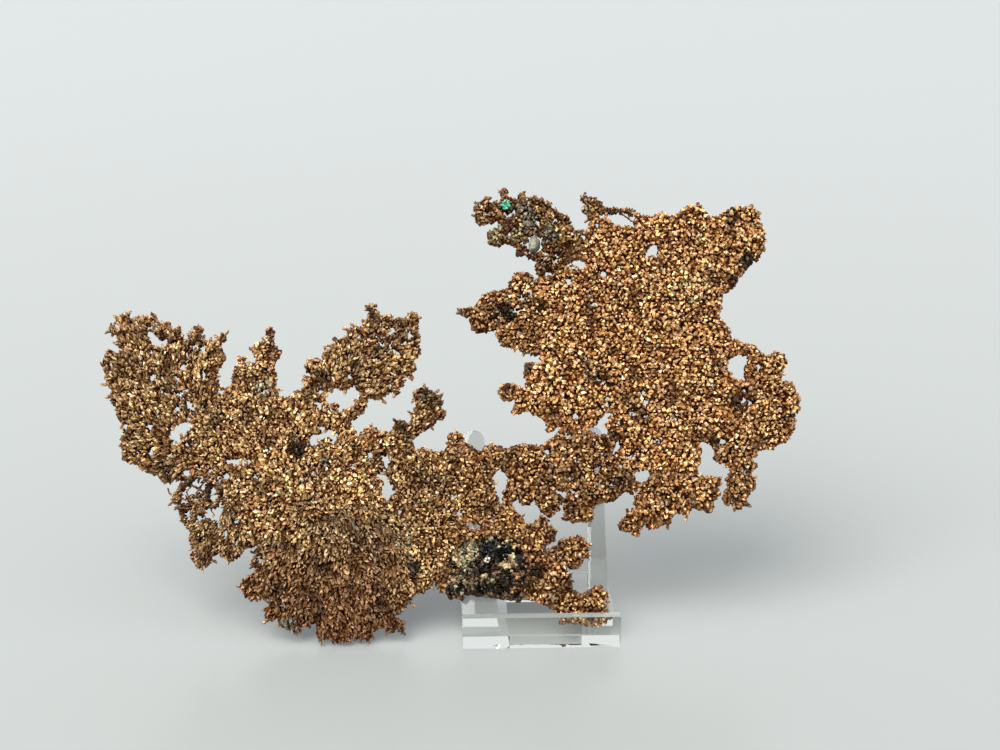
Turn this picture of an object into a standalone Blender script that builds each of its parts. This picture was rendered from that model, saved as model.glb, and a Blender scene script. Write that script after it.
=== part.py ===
"""Native copper sheet with a matrix lump, leaning on a clear acrylic easel."""
import math

import bpy
from mathutils import Vector
from mathutils.geometry import delaunay_2d_cdt

MM = 0.001

# How the sheet stands: its own plane leans back, and (u, v) run across and up that plane in millimetres.
LEAN_DEG = 30.0
SHEET_FRONT_MM = 2.2
DEPTH_CENTRE_MM = 36.2

# Thickness of the copper, and how far it swells out of its own plane.
BODY_HALF_MM = 1.9
RIM_HALF_MM = 1.15
FORK_GAP_MM = 0.3
LATTICE_MM = 6.0
LATTICE_CLEAR_MM = 1.3
SWELL_MM = 1.3
SWELL_ACROSS_MM = 17.0
SWELL_UP_MM = 12.0
STRAIGHT_WITHIN_MM = 14.0

# The matrix lump stands proud of the copper round it, and so does the pale stone.
MATRIX_LATTICE_MM = 3.0
MATRIX_BULGE_MM = 3.6
MATRIX_BULGE_RUN_MM = 5.0
MATRIX_LUMPS_MM = 0.5
MATRIX_LOWER_RIM = [(11.5, 14.1), (1.9, 13.7)]
STONE_FRONT_MM = 3.4
STONE_BACK_MM = 1.4
STONE_FREE_SHARE = 0.9

# The easel: a front lip, a floor cut by a notch right up to the lip, and two leaning prongs. A prong's
# sides are given as (u, v) and its round top as (centre u, centre v, radius).
EASEL_THICK_MM = 3.0
EASEL_LEFT_MM = 1.8
EASEL_RIGHT_MM = 49.0
EASEL_FRONT_MM = -1.2
EASEL_REAR_MM = 46.0
LIP_HIGH_MM = 10.0
NOTCH_LEFT_MM = 16.0
NOTCH_RIGHT_MM = 37.5
NOTCH_FRONT_MM = 2.6
NOTCH_REAR_MM = 30.0
NOTCH_PAST_MM = 1.0
PRONG_GAP_MM = 0.3
PRONG_TOP_STEPS = 10
LEFT_PRONG_SIDES = [(1.8, 3.4), (13.6, 3.4), (11, 24), (9.3, 44)]
LEFT_PRONG_TOP = (5.8, 61.8, 3.5)
RIGHT_PRONG_SIDES = [(40.2, 3.4), (46.4, 3.4)]
RIGHT_PRONG_TOP = (43.3, 63.7, 2.3)

# Outer rim of the copper and the matrix, anticlockwise from the lowest tip, as (u, v).
LOWER_FAN_UNDERSIDE = [
    (-37, .8), (-34.9, .8), (-32.2, 1.3), (-30, 3.1), (-27.7, 1.7), (-25.6, 3.5), (-23.3, 5), (-20.2, 5),
    (-18.6, 4), (-15.6, 4.2), (-16.5, 6.5), (-19.4, 8.9), (-16.8, 9.5), (-13.7, 13.1), (-12.1, 15.2),
    (-9.8, 15.9), (-8, 17.2), (-6.2, 19), (-5.5, 16.8), (-3.9, 15.6)]
MATRIX_UNDERSIDE = [
    (-2.4, 15), (-1.9, 13.6), (1.9, 13.7), (3.3, 15.2), (7.8, 14.3), (11.5, 14.1), (19.4, 12.7), (20, 15.5),
    (20.6, 13.2), (23.7, 12.5), (27.4, 11.3), (30.1, 10)]
FOOT_RIM = [
    (30.6, 7.3), (31.2, 5.4), (34.8, 5.6), (37.3, 5.2), (42.7, 4.8), (44.8, 5.9), (46.1, 7.2), (45.6, 9.3),
    (44.8, 12.7), (45.9, 14.5), (43.6, 15), (43, 17.5), (42, 16), (37.8, 14.5), (35, 16.1), (35.5, 20.6),
    (33.8, 20.9), (33.9, 23.1), (36.6, 22), (38.2, 23.1), (39.1, 25.8), (40.7, 26.1), (40, 27.7),
    (40.5, 29.7), (37.4, 32.2), (32.3, 31.1), (29.6, 28.6), (26.2, 27), (28.2, 29.9), (30.1, 30.6),
    (31, 33.8), (28.1, 35.6), (28.3, 37.1), (25.9, 38.3), (24, 35.7), (21.7, 35.8), (19.7, 38.3), (17, 41.7)]
LINK_UNDERSIDE = [
    (17.4, 42.3), (19.7, 42.7), (20.3, 41.4), (24.4, 42.9), (24.8, 41.4), (27.9, 38.3), (29.8, 38.3),
    (29.2, 40.8), (31.2, 39.5), (31.8, 41.4), (33.3, 42.4), (33.3, 37.1), (36, 36.2), (41.8, 36.6),
    (42.4, 40.2), (43.3, 41.8), (48.4, 42.9), (51.2, 45.3), (52.2, 46)]
LOWER_TIPS_RIM = [
    (53, 45.8), (55.5, 45), (54.3, 41.4), (56.2, 40), (52.7, 39.8), (51.2, 37.1), (49.4, 35.6), (51.4, 33.3),
    (52.7, 34), (55.2, 31.4), (56.4, 32.1), (57.4, 35.6), (60.5, 33.8), (65.5, 35.6), (66.3, 37.9),
    (68.2, 38.7), (71.3, 38.1), (72.3, 42.3), (72.6, 40.2), (78.3, 39.1), (79.2, 42.2), (81.4, 44.5),
    (79.8, 46.8), (81.9, 47.2), (81.7, 49.5), (75.5, 50.3), (74.6, 51.8), (76.1, 56.1), (75.4, 60.9),
    (79.8, 61.1), (80, 57.2), (81, 54.5), (84.8, 53.4)]
TAIL_RIM = [
    (84.8, 51.1), (82.7, 49.1), (83.7, 46.8), (81.7, 42.9), (82.9, 41.4), (87.2, 40.4), (89.5, 41),
    (90.2, 44.9), (92.8, 46.4), (91.2, 50.7), (93.1, 53.4), (91.2, 55.6)]
RIGHT_LOBE_RIM = [
    (93.3, 56.1), (93.7, 58.8), (98, 58), (99.9, 59.9), (103, 61), (105.6, 64.9), (104.8, 68), (106.9, 70.7),
    (107.6, 73.4), (106.5, 77.6), (105, 79.2), (102.3, 79.8), (101.5, 82.1), (104.2, 86), (102, 89.2),
    (97.1, 88.3), (93.8, 91.4), (90.7, 91.9), (86.4, 93.7)]
FAN_TOP = [
    (86.6, 95.4), (84.9, 98.7), (83.1, 100.6), (84.1, 105.1), (84.9, 108.5), (87.6, 109.3), (92.1, 115.8),
    (97.4, 120), (99.5, 124.9), (98, 129.1), (97.1, 134.4), (94.8, 136.5), (88.1, 136.1), (84.9, 133.6),
    (81.7, 132.7), (80, 135), (78.4, 135.9), (79.4, 137.1), (76.5, 137.1), (70.3, 134), (69.3, 132.5),
    (66.7, 134.2), (64.8, 134.2), (62.9, 132.9), (59.1, 133.3)]
BENT_TWIG_RIM = [
    (57.2, 134.6), (56, 135.6), (49.6, 136), (46.7, 137.5), (45.4, 139), (40.5, 140.1), (42.2, 137.2),
    (40.5, 136), (43.5, 131.9), (43.3, 130.1), (41.1, 128)]
TOP_SPUR_RIM = [
    (38.4, 128.6), (36.8, 131.6), (36.6, 133.1), (31.2, 136), (31, 137.3), (29.1, 137.9), (25.4, 139.4),
    (23.1, 138.7), (21.5, 141.1), (21.2, 138.5), (17.2, 139), (17, 141.3), (16.2, 142.4), (15.3, 138.3),
    (12.3, 137.5), (11.2, 139.2), (6.5, 136.4), (7.5, 133.8), (7.5, 131), (10.1, 130.1), (14, 131.9),
    (14.6, 129.7), (11.2, 128.2), (11.2, 124.8), (12.9, 123.5), (16.8, 124.5), (20.2, 123.7), (19.8, 120.2),
    (24.3, 121.1), (26.1, 118.5), (26.9, 113.3), (25.8, 112.5)]
LEFT_SPURS_RIM = [
    (25, 112.9), (23.9, 115.1), (19.4, 115), (17.2, 111.8), (17.5, 110.1), (10.3, 108.8), (7.1, 104.5),
    (2.2, 103.2), (1.1, 101.9), (5, 100.8), (5.4, 96.6), (9.9, 95.4), (13.3, 97.4), (13.1, 94.7),
    (14.9, 91.2), (19.5, 90.8), (22.4, 88.9), (24.7, 88.3), (26.7, 89)]
FAN_LEFT_EDGE = [
    (27.1, 87.7), (27.1, 85.4), (22.4, 86), (21.3, 83.1), (22.2, 80), (21.7, 77.6), (18.6, 79.2),
    (14.3, 79.2), (13, 76.5), (15.3, 74), (18.6, 74.4), (18.2, 69.9), (23.2, 70.5), (28.6, 67.2),
    (29.2, 63.9), (31.3, 66), (32.5, 65.8), (32.1, 64.1)]
NECK_TOP = [
    (30.2, 62.6), (26.7, 59.9), (20.9, 60.5), (15.5, 58.8), (13.4, 59.9), (10.9, 60.3), (7.4, 58.5),
    (3.7, 60.5), (1.8, 61.7), (2.7, 63.8), (-1.9, 63.8), (-2.1, 61.1), (-3.1, 58.6), (-6.6, 58),
    (-10, 59.9), (-12.2, 58.8), (-13.1, 61.9)]
SIDE_BRANCH_RIM = [
    (-12, 63), (-9.9, 64.6), (-5.9, 67.8), (-2.2, 69.6), (-4.7, 72.7), (-3.2, 73.5), (-5.5, 76),
    (-7.6, 77.7), (-10.7, 78.3), (-13, 76.5), (-11.9, 74.8), (-13.4, 68.4), (-14.8, 67.7), (-16.7, 68),
    (-19.4, 65.1)]
LEAF_STEM = [
    (-22.1, 64.8), (-26.4, 65.9), (-29.5, 63.2), (-32.2, 67.3), (-31.2, 69), (-27.3, 70.9), (-26.7, 73.8)]
LEAF_RIM = [
    (-26.4, 75.6), (-22.9, 74.8), (-19.8, 77.3), (-17.5, 76.7), (-15.7, 79.6), (-16.9, 81.2),
    (-12.8, 82.9), (-12.1, 85.1), (-12.4, 87.4), (-10.3, 88), (-11.1, 95.5), (-11.5, 102.1), (-14, 102.1),
    (-15.9, 99.4), (-20.6, 101.5), (-24.2, 100.1), (-25.6, 105), (-26.4, 100.1), (-27.9, 97.8),
    (-32.4, 97), (-35.3, 92.8), (-36.4, 94.1), (-38.7, 89.7), (-40.3, 89.7), (-41.4, 86.2), (-42.2, 87.8),
    (-45.7, 85.2), (-44.7, 82.3), (-46.9, 78.1)]
TWIN_SPURS_RIM = [
    (-48.8, 77.7), (-49.6, 76.5), (-54, 75.2), (-54.6, 78.5), (-56.1, 78.9), (-54.6, 81.6), (-55.4, 85.4),
    (-53, 89.1), (-55.9, 93.2), (-55.4, 96.1), (-57.7, 97.4), (-57.6, 93.4), (-62.9, 91.3), (-60.9, 87.5),
    (-62.7, 84.9), (-64.2, 85.7), (-65.3, 88.2), (-68.2, 83.1), (-68.2, 78.7), (-69.7, 78), (-71.8, 75.4)]
LEFT_WING_RIM = [
    (-72.2, 79.1), (-73.3, 82.7), (-70.4, 87.9), (-71.9, 91.9), (-70, 94.6), (-71.1, 95.4), (-73.3, 93),
    (-78.1, 93.4), (-77.7, 97), (-78.1, 98.1), (-81, 95.2), (-82.3, 91.8), (-83.8, 95.4), (-85.1, 94.5),
    (-83.8, 98.5), (-87.4, 97.2), (-88, 99.8), (-89.8, 99.2), (-92.2, 95.7), (-90.2, 94.1), (-87.4, 94),
    (-87.6, 91.3), (-92.8, 91.6), (-94.8, 96.7), (-91.8, 101.8), (-95.3, 101.4), (-99, 100.1),
    (-101.5, 102.5), (-104, 100), (-102.3, 97.4), (-106.1, 97.6), (-103, 94.1), (-103.4, 91.7),
    (-101.4, 90.8), (-102.7, 89.3), (-106.1, 90.8), (-107.7, 85.5), (-106.7, 81.6), (-104.5, 76.5),
    (-104.5, 73.9), (-102.1, 68.8), (-99.2, 66.4), (-101.8, 62.6), (-100.7, 56.4), (-94.7, 54.5),
    (-92.5, 51.8), (-89.8, 52), (-88.3, 49.1), (-82.5, 50.6), (-82.6, 53.5), (-80.2, 53.4)]
LACE_RIM = [
    (-80.5, 51), (-82.3, 49.4), (-84.8, 46.7), (-86.2, 44.4), (-84.2, 42.7), (-82.7, 37.5), (-80.2, 34.4),
    (-80.5, 31.3), (-78, 28.2), (-80, 27.6), (-78, 23.9), (-74.4, 24.3), (-72.8, 27.8), (-70.9, 27.6),
    (-67.6, 25.1), (-63.1, 29.3), (-60, 30.2)]
LOWER_FAN_LEFT = [
    (-59.8, 28.2), (-61.8, 25.3), (-60.2, 22.4), (-64.1, 19.7), (-64.3, 16.2), (-61.6, 13.3),
    (-55.8, 14.9), (-57.3, 9.3), (-55.8, 7.1), (-53.4, 9.1), (-53.1, 6), (-48.8, 4.2), (-42.2, 7.3),
    (-41.5, 1.9), (-38.4, 3.5)]
RIM = (LOWER_FAN_UNDERSIDE + MATRIX_UNDERSIDE + FOOT_RIM + LINK_UNDERSIDE + LOWER_TIPS_RIM + TAIL_RIM
       + RIGHT_LOBE_RIM + FAN_TOP + BENT_TWIG_RIM + TOP_SPUR_RIM + LEFT_SPURS_RIM + FAN_LEFT_EDGE
       + NECK_TOP + SIDE_BRANCH_RIM + LEAF_STEM + LEAF_RIM + TWIN_SPURS_RIM + LEFT_WING_RIM + LACE_RIM
       + LOWER_FAN_LEFT)

# Openings that go right through the sheet.
WING_OPENINGS = [
    [(-80.7, 69.8), (-82.9, 67.7), (-86.2, 67), (-87.1, 63.2), (-85, 59.7), (-81.8, 64.4), (-80.3, 66.2)],
    [(-87, 80.6), (-86.2, 82.2), (-85, 82.6), (-83.8, 81.2), (-84.4, 80.3)],
    [(-84.7, 83.6), (-84.2, 85.4), (-81, 86.2), (-82.2, 84.6), (-83.2, 83.6)],
    [(-69.9, 57), (-67.8, 56.4), (-65.1, 57), (-62.4, 56.6), (-61.6, 55.2), (-63.1, 54.1), (-69.7, 55.4)]]
LACE_OPENINGS = [
    [(-79, 53.2), (-77.6, 54.7), (-76.3, 53.4), (-77.6, 52.5)],
    [(-76.1, 52.6), (-74.6, 53.9), (-73.2, 52.8), (-74.6, 51.8)],
    [(-73.2, 49.8), (-70.9, 50.2), (-72.4, 48.3), (-71.7, 45.6), (-72.8, 43.3), (-74.7, 42.1), (-74.4, 46.3)],
    [(-77.8, 44), (-76.6, 45.6), (-75.1, 44.4), (-76.4, 42.5)],
    [(-80.9, 43.6), (-79.8, 45.2), (-78.6, 43.8), (-79.8, 42.1)],
    [(-79.4, 41.4), (-77.4, 42.4), (-75.9, 41.2), (-77.8, 40.2)]]
LEAF_OPENINGS = [
    [(-42.7, 66.9), (-39.4, 66.3), (-35, 64.2), (-37.3, 60.5), (-38.9, 63.4), (-41.8, 60.9),
     (-44.5, 60.3), (-44.5, 63.6), (-41, 64.5)],
    [(-43.2, 74), (-41.8, 74.8), (-40.7, 73.5), (-40.7, 71.5), (-42, 72.3)],
    [(-43, 77.5), (-40.5, 78.3), (-36.8, 79.3), (-35.3, 77.9), (-33.1, 78.1), (-31, 79.6), (-28.9, 77.3),
     (-29.3, 74.6), (-32.2, 72.3), (-35.3, 71.3), (-36.8, 74.2), (-38.3, 72.7), (-41.4, 76.7)],
    [(-34.3, 81.8), (-31.8, 83.1), (-31.6, 81.2), (-32.9, 80.8)],
    [(-21.1, 97), (-19, 97.8), (-17.1, 95.5), (-21.3, 94.9)],
    [(-25, 92.8), (-22.1, 93), (-20.6, 90.9), (-24.4, 92.2)],
    [(-27.5, 93.4), (-26.4, 94.3), (-25.2, 93.6), (-26.4, 92.8)],
    [(-29.6, 89.6), (-28.8, 90.7), (-28.1, 89.6), (-28.8, 88.7)]]
CENTRE_OPENINGS = [
    [(-32.1, 53.6), (-31.2, 55.1), (-30.4, 53.8), (-31.2, 52.6)],
    [(-23, 57.4), (-18.4, 57.4), (-19.9, 54.5), (-21.3, 51.1), (-19.9, 49.1), (-17.8, 46), (-21.5, 42.7),
     (-22.6, 46.8), (-22.2, 48.9), (-24, 50.9), (-21.5, 53.8)],
    [(13.6, 53.4), (15.1, 52.8), (16.1, 48.3), (14.3, 44.5), (14.3, 42.4), (13.6, 42.4), (11.4, 48.3),
     (11.6, 50.7)],
    [(2.2, 36), (3.9, 36.9), (7.4, 36), (6.6, 34), (4.3, 34.8)]]
LINK_OPENINGS = [
    [(30.8, 46.6), (34.8, 45.3), (33.7, 43.7), (30.6, 44.9)],
    [(50.7, 61.7), (51.3, 60), (50.7, 57.6), (48, 56.9), (49.1, 58.8), (49.5, 60.7)],
    [(41, 65.1), (42.9, 66), (46.4, 69.5), (48.1, 70.3), (49.1, 69.5), (46, 66.6), (48.3, 63.3), (44.5, 62.9)],
    [(58.3, 52.4), (60.9, 51.8), (61.2, 50.7), (57, 47.8), (55.4, 48.9), (55.1, 51.1), (56.6, 52.2)]]
FAN_OPENINGS = [
    [(35.5, 117.2), (37.3, 118.9), (41.1, 118.9), (42.2, 117.4), (40.7, 115.9), (36.6, 116.1)],
    [(27.6, 113.8), (29.1, 115.7), (32.1, 115.1), (30.2, 113.6)],
    [(28.6, 121), (29.4, 122.4), (30.2, 121.2), (29.4, 120)],
    [(40.3, 126.2), (41.5, 126.9), (42.6, 126.2), (41.5, 125.4)],
    [(46.3, 114.2), (47.6, 115.6), (48.8, 114.2), (47.6, 112.8)],
    [(41.1, 107.4), (42.3, 108.2), (43.5, 107.4), (42.3, 106.5)],
    [(13.8, 102), (14.6, 102.9), (15.4, 102), (14.6, 100.9)],
    [(19.3, 96.4), (20.4, 97.9), (21.3, 96.4), (20.2, 95)],
    [(17, 127.2), (17.9, 128), (18.5, 127.2), (17.7, 126.3)],
    [(64.9, 123.8), (64.8, 121.5), (63.6, 119.6), (59.1, 119.6), (61.7, 123.4)],
    [(46.1, 133.1), (47.7, 134.2), (56, 134.2), (57.9, 132.9), (57.2, 129.8), (51.8, 129.5), (48.4, 132.5)],
    [(58.4, 69.6), (59.3, 70.4), (60.1, 69.4), (59.2, 68.6)]]
LOBE_OPENINGS = [
    [(85.6, 87.5), (89.1, 88.7), (92.2, 87.7), (90.9, 83.8), (91.1, 80.3), (89.1, 80.3), (85.6, 81.9),
     (85.3, 85)],
    [(89.1, 73.6), (89.9, 74.5), (90.7, 73.6), (89.9, 72.7)]]
STONE_RIM = [(23.9, 121.2), (26.2, 120.9), (27.9, 122.8), (27.8, 125.6), (26, 127.4), (24.2, 126.9), (23.2, 124.2)]
STONE_MIDDLE = (25.6, 124.1)
OPENINGS = (WING_OPENINGS + LACE_OPENINGS + LEAF_OPENINGS + CENTRE_OPENINGS + LINK_OPENINGS + FAN_OPENINGS
            + LOBE_OPENINGS)

# Forks: the lines where one branch gives way to the next.
MATRIX_CONTOUR = [
    (-3.2, 14.2), (-2.4, 22), (-1.4, 28), (3, 31), (8, 31.8), (14, 31.6), (18.6, 31), (20.8, 27),
    (21.8, 21), (20.1, 15.4), (20, 14.2)]
FORKS = [
    MATRIX_CONTOUR,
    [(-71.5, 76.5), (-81, 68.4)], [(-85, 60.8), (-82.1, 52.9)], [(-47.6, 79), (-42, 77.4)],
    [(-29.8, 76), (-25.8, 74.4)], [(-20.2, 66.4), (-12, 61.4)], [(13.5, 61.2), (13.8, 52.6)],
    [(13.9, 43.4), (18.3, 41.4)], [(-61, 29), (-58.5, 31.3), (-21.3, 43.6)], [(-19.4, 56.9), (-11.7, 59.9)],
    [(-21.2, 43.8), (-9, 14.9)], [(-71.6, 49.7), (-61, 29)], [(-81.2, 52.4), (-71.7, 49.6)],
    [(31, 64.9), (33, 63), (33.4, 41.6)], [(31, 64.9), (42.4, 64.7)], [(47.6, 63.9), (50.1, 60.8)],
    [(49.9, 57.7), (56, 50.6)], [(51.9, 44.7), (56.4, 49.4)], [(83.8, 52.6), (92.2, 55.4)],
    [(60.5, 50.9), (75.8, 51.8)], [(90.2, 93.2), (90.2, 87.4)], [(90, 81.4), (79.2, 59.8)],
    [(31.2, 114.8), (36.6, 117.2)], [(39.8, 118.4), (41.4, 126.3), (40.7, 129.2)],
    [(25.6, 113.7), (28.7, 114.4)], [(42.5, 130.7), (47, 133.5)], [(57.6, 135.4), (57.2, 132.6)],
    [(25.6, 113.7), (26.4, 110), (26.5, 88.1)], [(18.4, 31.1), (22, 37)]]

# One point inside each branch, which names it.
BRANCHES = {
    "copper_left_wing": (-95, 75), "copper_upper_mass": (-55, 60), "copper_leaf": (-20, 86),
    "copper_side_branch": (-8, 70), "copper_lace_branch": (-75, 35), "copper_lower_fan": (-38, 25),
    "copper_centre": (0, 48), "copper_neck": (22, 52), "copper_link": (42, 50), "copper_foot": (30, 20),
    "copper_right_fan": (65, 95), "copper_left_spurs": (20, 104), "copper_top_spur": (32, 130),
    "copper_bent_twig": (46, 135.6), "copper_right_lobe": (97, 72), "copper_tail": (86, 48),
    "copper_lower_tips": (64, 43), "matrix_lump": (10, 22)}

METAL_ORANGE = (0.58, 0.27, 0.11, 1.0)
METAL_BROWN = (0.38, 0.20, 0.09, 1.0)
METAL_GOLD = (0.47, 0.27, 0.10, 1.0)
BROWN_BRANCHES = ("copper_lace_branch", "copper_lower_fan")
GOLD_BRANCHES = ("copper_left_wing", "copper_upper_mass", "copper_leaf", "copper_side_branch", "copper_centre")


def clear_scene():
    for old in list(bpy.data.objects):
        bpy.data.objects.remove(old, do_unlink=True)


def make_material(name, colour, roughness, metallic, transmission=0.0):
    material = bpy.data.materials.new(name)
    material.use_nodes = True
    shader = material.node_tree.nodes["Principled BSDF"]
    shader.inputs["Base Color"].default_value = colour
    shader.inputs["Roughness"].default_value = roughness
    shader.inputs["Metallic"].default_value = metallic
    shader.inputs["Transmission Weight"].default_value = transmission
    shader.inputs["IOR"].default_value = 1.49
    return material


def inside(point, polygon):
    """Even-odd test of a point against a closed outline."""
    found = False
    last = polygon[-1]
    for here in polygon:
        if (here[1] > point[1]) != (last[1] > point[1]):
            crossing = last[0] + (point[1] - last[1]) * (here[0] - last[0]) / (here[1] - last[1])
            if point[0] < crossing:
                found = not found
        last = here
    return found


def strip(line):
    """A closed band of the fork gap's width along an open line."""
    half = FORK_GAP_MM / 2.0
    left = []
    right = []
    for index, point in enumerate(line):
        before = Vector(line[max(index - 1, 0)])
        after = Vector(line[min(index + 1, len(line) - 1)])
        along = (after - before).normalized()
        left.append((point[0] - along.y * half, point[1] + along.x * half))
        right.append((point[0] + along.y * half, point[1] - along.x * half))
    return left + right[::-1]


def distance_to_outline(point, outline):
    spot = Vector(point)
    nearest = 1000.0
    last = Vector(outline[-1])
    for here in outline:
        end = Vector(here)
        edge = end - last
        share = max(0.0, min(1.0, (spot - last).dot(edge) / edge.length_squared))
        nearest = min(nearest, (spot - last - edge * share).length)
        last = end
    return nearest


def lattice(step, outlines, clear):
    """Rows of points that keep clear of every outline."""
    points = []
    rows = int(150 / step)
    columns = int(220 / step)
    for row in range(rows):
        for column in range(columns):
            point = (-109 + (column + 0.5 * (row % 2)) * step, 1 + row * step * 0.87)
            if inside(point, RIM) and min(distance_to_outline(point, line) for line in outlines) > clear:
                points.append(point)
    return points


def in_matrix(point):
    return inside(point, MATRIX_CONTOUR)


def triangulate():
    """Triangles of the whole sheet, without its openings and fork gaps."""
    bands = [strip(line) for line in FORKS]
    outlines = [RIM] + OPENINGS + [STONE_RIM] + bands
    points = []
    edges = []
    for outline in outlines:
        start = len(points)
        points += [Vector(point) for point in outline]
        edges += [(start + i, start + (i + 1) % len(outline)) for i in range(len(outline))]
    coarse = lattice(LATTICE_MM, outlines, LATTICE_CLEAR_MM)
    fine = lattice(MATRIX_LATTICE_MM, outlines, LATTICE_CLEAR_MM)
    points += [Vector(point) for point in coarse if not in_matrix(point)]
    points += [Vector(point) for point in fine if in_matrix(point)]
    spots, _edges, faces, *_rest = delaunay_2d_cdt(points, edges, [], 0, 0.0001)
    gaps = OPENINGS + [STONE_RIM] + bands
    kept = []
    for face in faces:
        middle = sum((spots[i] for i in face), Vector((0, 0))) / len(face)
        if inside(middle, RIM) and not any(inside(middle, gap) for gap in gaps):
            kept.append(tuple(face))
    return spots, kept


def branch_faces(spots, faces, seed):
    """The faces reached from the one that holds the seed point, edge by edge."""
    by_edge = {}
    for index, face in enumerate(faces):
        for i in range(len(face)):
            by_edge.setdefault(frozenset((face[i], face[(i + 1) % len(face)])), []).append(index)
    start = next(i for i, face in enumerate(faces) if inside(seed, [spots[k] for k in face]))
    reached = {start}
    front = [start]
    while front:
        face = faces[front.pop()]
        for i in range(len(face)):
            for other in by_edge[frozenset((face[i], face[(i + 1) % len(face)]))]:
                if other not in reached:
                    reached.add(other)
                    front.append(other)
    return [faces[i] for i in sorted(reached)]


def rim_edges(faces):
    """Directed edges that only one face uses."""
    directed = {(face[i], face[(i + 1) % len(face)]) for face in faces for i in range(len(face))}
    return [edge for edge in directed if (edge[1], edge[0]) not in directed]


def smooth(value):
    share = max(0.0, min(1.0, value))
    return share * share * (3.0 - 2.0 * share)


def swell(u, v):
    """How far the sheet's middle stands forward of its plane; flat where it meets the easel."""
    aside = max(-2.0 - u, u - 48.0, v - 68.0, 0.0)
    free = smooth(aside / STRAIGHT_WITHIN_MM) * smooth((v - 4.0) / STRAIGHT_WITHIN_MM)
    wave = SWELL_MM * math.sin(u / SWELL_ACROSS_MM + 0.6) * math.cos(v / SWELL_UP_MM)
    curl = -4.0 * smooth((u - 82.0) / 16.0) * smooth(1.0 - abs(v - 114.0) / 12.0)
    return wave * free + curl


def place(u, v, forward):
    """A point of the leaning sheet in the part's own metres."""
    lean = math.radians(LEAN_DEG)
    y = SHEET_FRONT_MM + v * math.sin(lean) - forward * math.cos(lean) - DEPTH_CENTRE_MM
    z = v * math.cos(lean) + forward * math.sin(lean)
    return (u * MM, y * MM, z * MM)


def add_mesh(name, vertices, faces, material):
    mesh = bpy.data.meshes.new(name)
    mesh.from_pydata(vertices, [], faces)
    mesh.validate()
    mesh.materials.append(material)
    thing = bpy.data.objects.new(name, mesh)
    bpy.context.scene.collection.objects.link(thing)
    return thing


def build_branch(name, spots, faces, material):
    """A closed plate from one branch's triangles, thinner along its rim."""
    border = rim_edges(faces)
    on_rim = {edge[0] for edge in border}
    used = sorted({i for face in faces for i in face})
    slot = {spot: index for index, spot in enumerate(used)}
    front = []
    back = []
    for spot in used:
        u, v = spots[spot]
        middle = swell(u, v)
        half = RIM_HALF_MM if spot in on_rim else BODY_HALF_MM
        bulge = 0.0
        if name == "matrix_lump" and spot not in on_rim:
            to_rim = distance_to_outline((u, v), MATRIX_CONTOUR + MATRIX_LOWER_RIM)
            bulge = MATRIX_BULGE_MM * smooth(to_rim / MATRIX_BULGE_RUN_MM)
            bulge += MATRIX_LUMPS_MM * math.sin(1.3 * u) * math.sin(1.7 * v)
        front.append(place(u, v, middle + half + bulge))
        back.append(place(u, v, middle - half))
    total = len(used)
    solid = [tuple(slot[i] for i in face) for face in faces]
    solid += [tuple(slot[i] + total for i in reversed(face)) for face in faces]
    for a, b in border:
        solid.append((slot[b], slot[a], slot[a] + total, slot[b] + total))
    return add_mesh(name, front + back, solid, material)


def build_stone(material):
    """The pale stone: a small faceted lump set in its own socket."""
    middle = swell(*STONE_MIDDLE)
    rings = ((0.72, STONE_FRONT_MM * 0.8), (1.0, 0.6), (1.0, -0.6), (0.7, -STONE_BACK_MM))
    vertices = []
    for share, forward in rings:
        for u, v in STONE_RIM:
            u_in = STONE_MIDDLE[0] + (u - STONE_MIDDLE[0]) * share * STONE_FREE_SHARE
            v_in = STONE_MIDDLE[1] + (v - STONE_MIDDLE[1]) * share * STONE_FREE_SHARE
            vertices.append(place(u_in, v_in, middle + forward))
    sides = len(STONE_RIM)
    peak = len(vertices)
    vertices.append(place(STONE_MIDDLE[0] + 0.3, STONE_MIDDLE[1] - 0.4, middle + STONE_FRONT_MM))
    faces = []
    for ring in range(len(rings) - 1):
        for i in range(sides):
            j = (i + 1) % sides
            faces.append((ring * sides + j, ring * sides + i, (ring + 1) * sides + i, (ring + 1) * sides + j))
    faces += [(i, (i + 1) % sides, peak) for i in range(sides)]
    last = (len(rings) - 1) * sides
    faces.append(tuple(last + i for i in reversed(range(sides))))
    return add_mesh("pale_stone", vertices, faces, material)


def box_faces():
    return [(0, 3, 2, 1), (4, 5, 6, 7), (0, 1, 5, 4), (1, 2, 6, 5), (2, 3, 7, 6), (3, 0, 4, 7)]


def add_block(name, x_low, x_high, y_low, y_high, z_low, z_high, material):
    """A plain block given in millimetres from the sheet's foot line."""
    corners = []
    for z in (z_low, z_high):
        for x, y in ((x_low, y_low), (x_high, y_low), (x_high, y_high), (x_low, y_high)):
            corners.append((x * MM, (y - DEPTH_CENTRE_MM) * MM, z * MM))
    return add_mesh(name, corners, box_faces(), material)


def add_prong(name, outline, material):
    """A leaning prong cut from sheet, its front just behind the copper."""
    front = -BODY_HALF_MM - PRONG_GAP_MM
    vertices = [place(u, v, front) for u, v in outline]
    vertices += [place(u, v, front - EASEL_THICK_MM) for u, v in outline]
    count = len(outline)
    faces = [tuple(range(count)), tuple(range(2 * count - 1, count - 1, -1))]
    for i in range(count):
        j = (i + 1) % count
        faces.append((j, i, i + count, j + count))
    return add_mesh(name, vertices, faces, material)


def round_top(centre_u, centre_v, radius):
    """Half a circle over the top of a prong, from its right side to its left."""
    points = []
    for step in range(PRONG_TOP_STEPS + 1):
        angle = math.pi * step / PRONG_TOP_STEPS
        points.append((centre_u + radius * math.cos(angle), centre_v + radius * math.sin(angle)))
    return points


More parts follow.
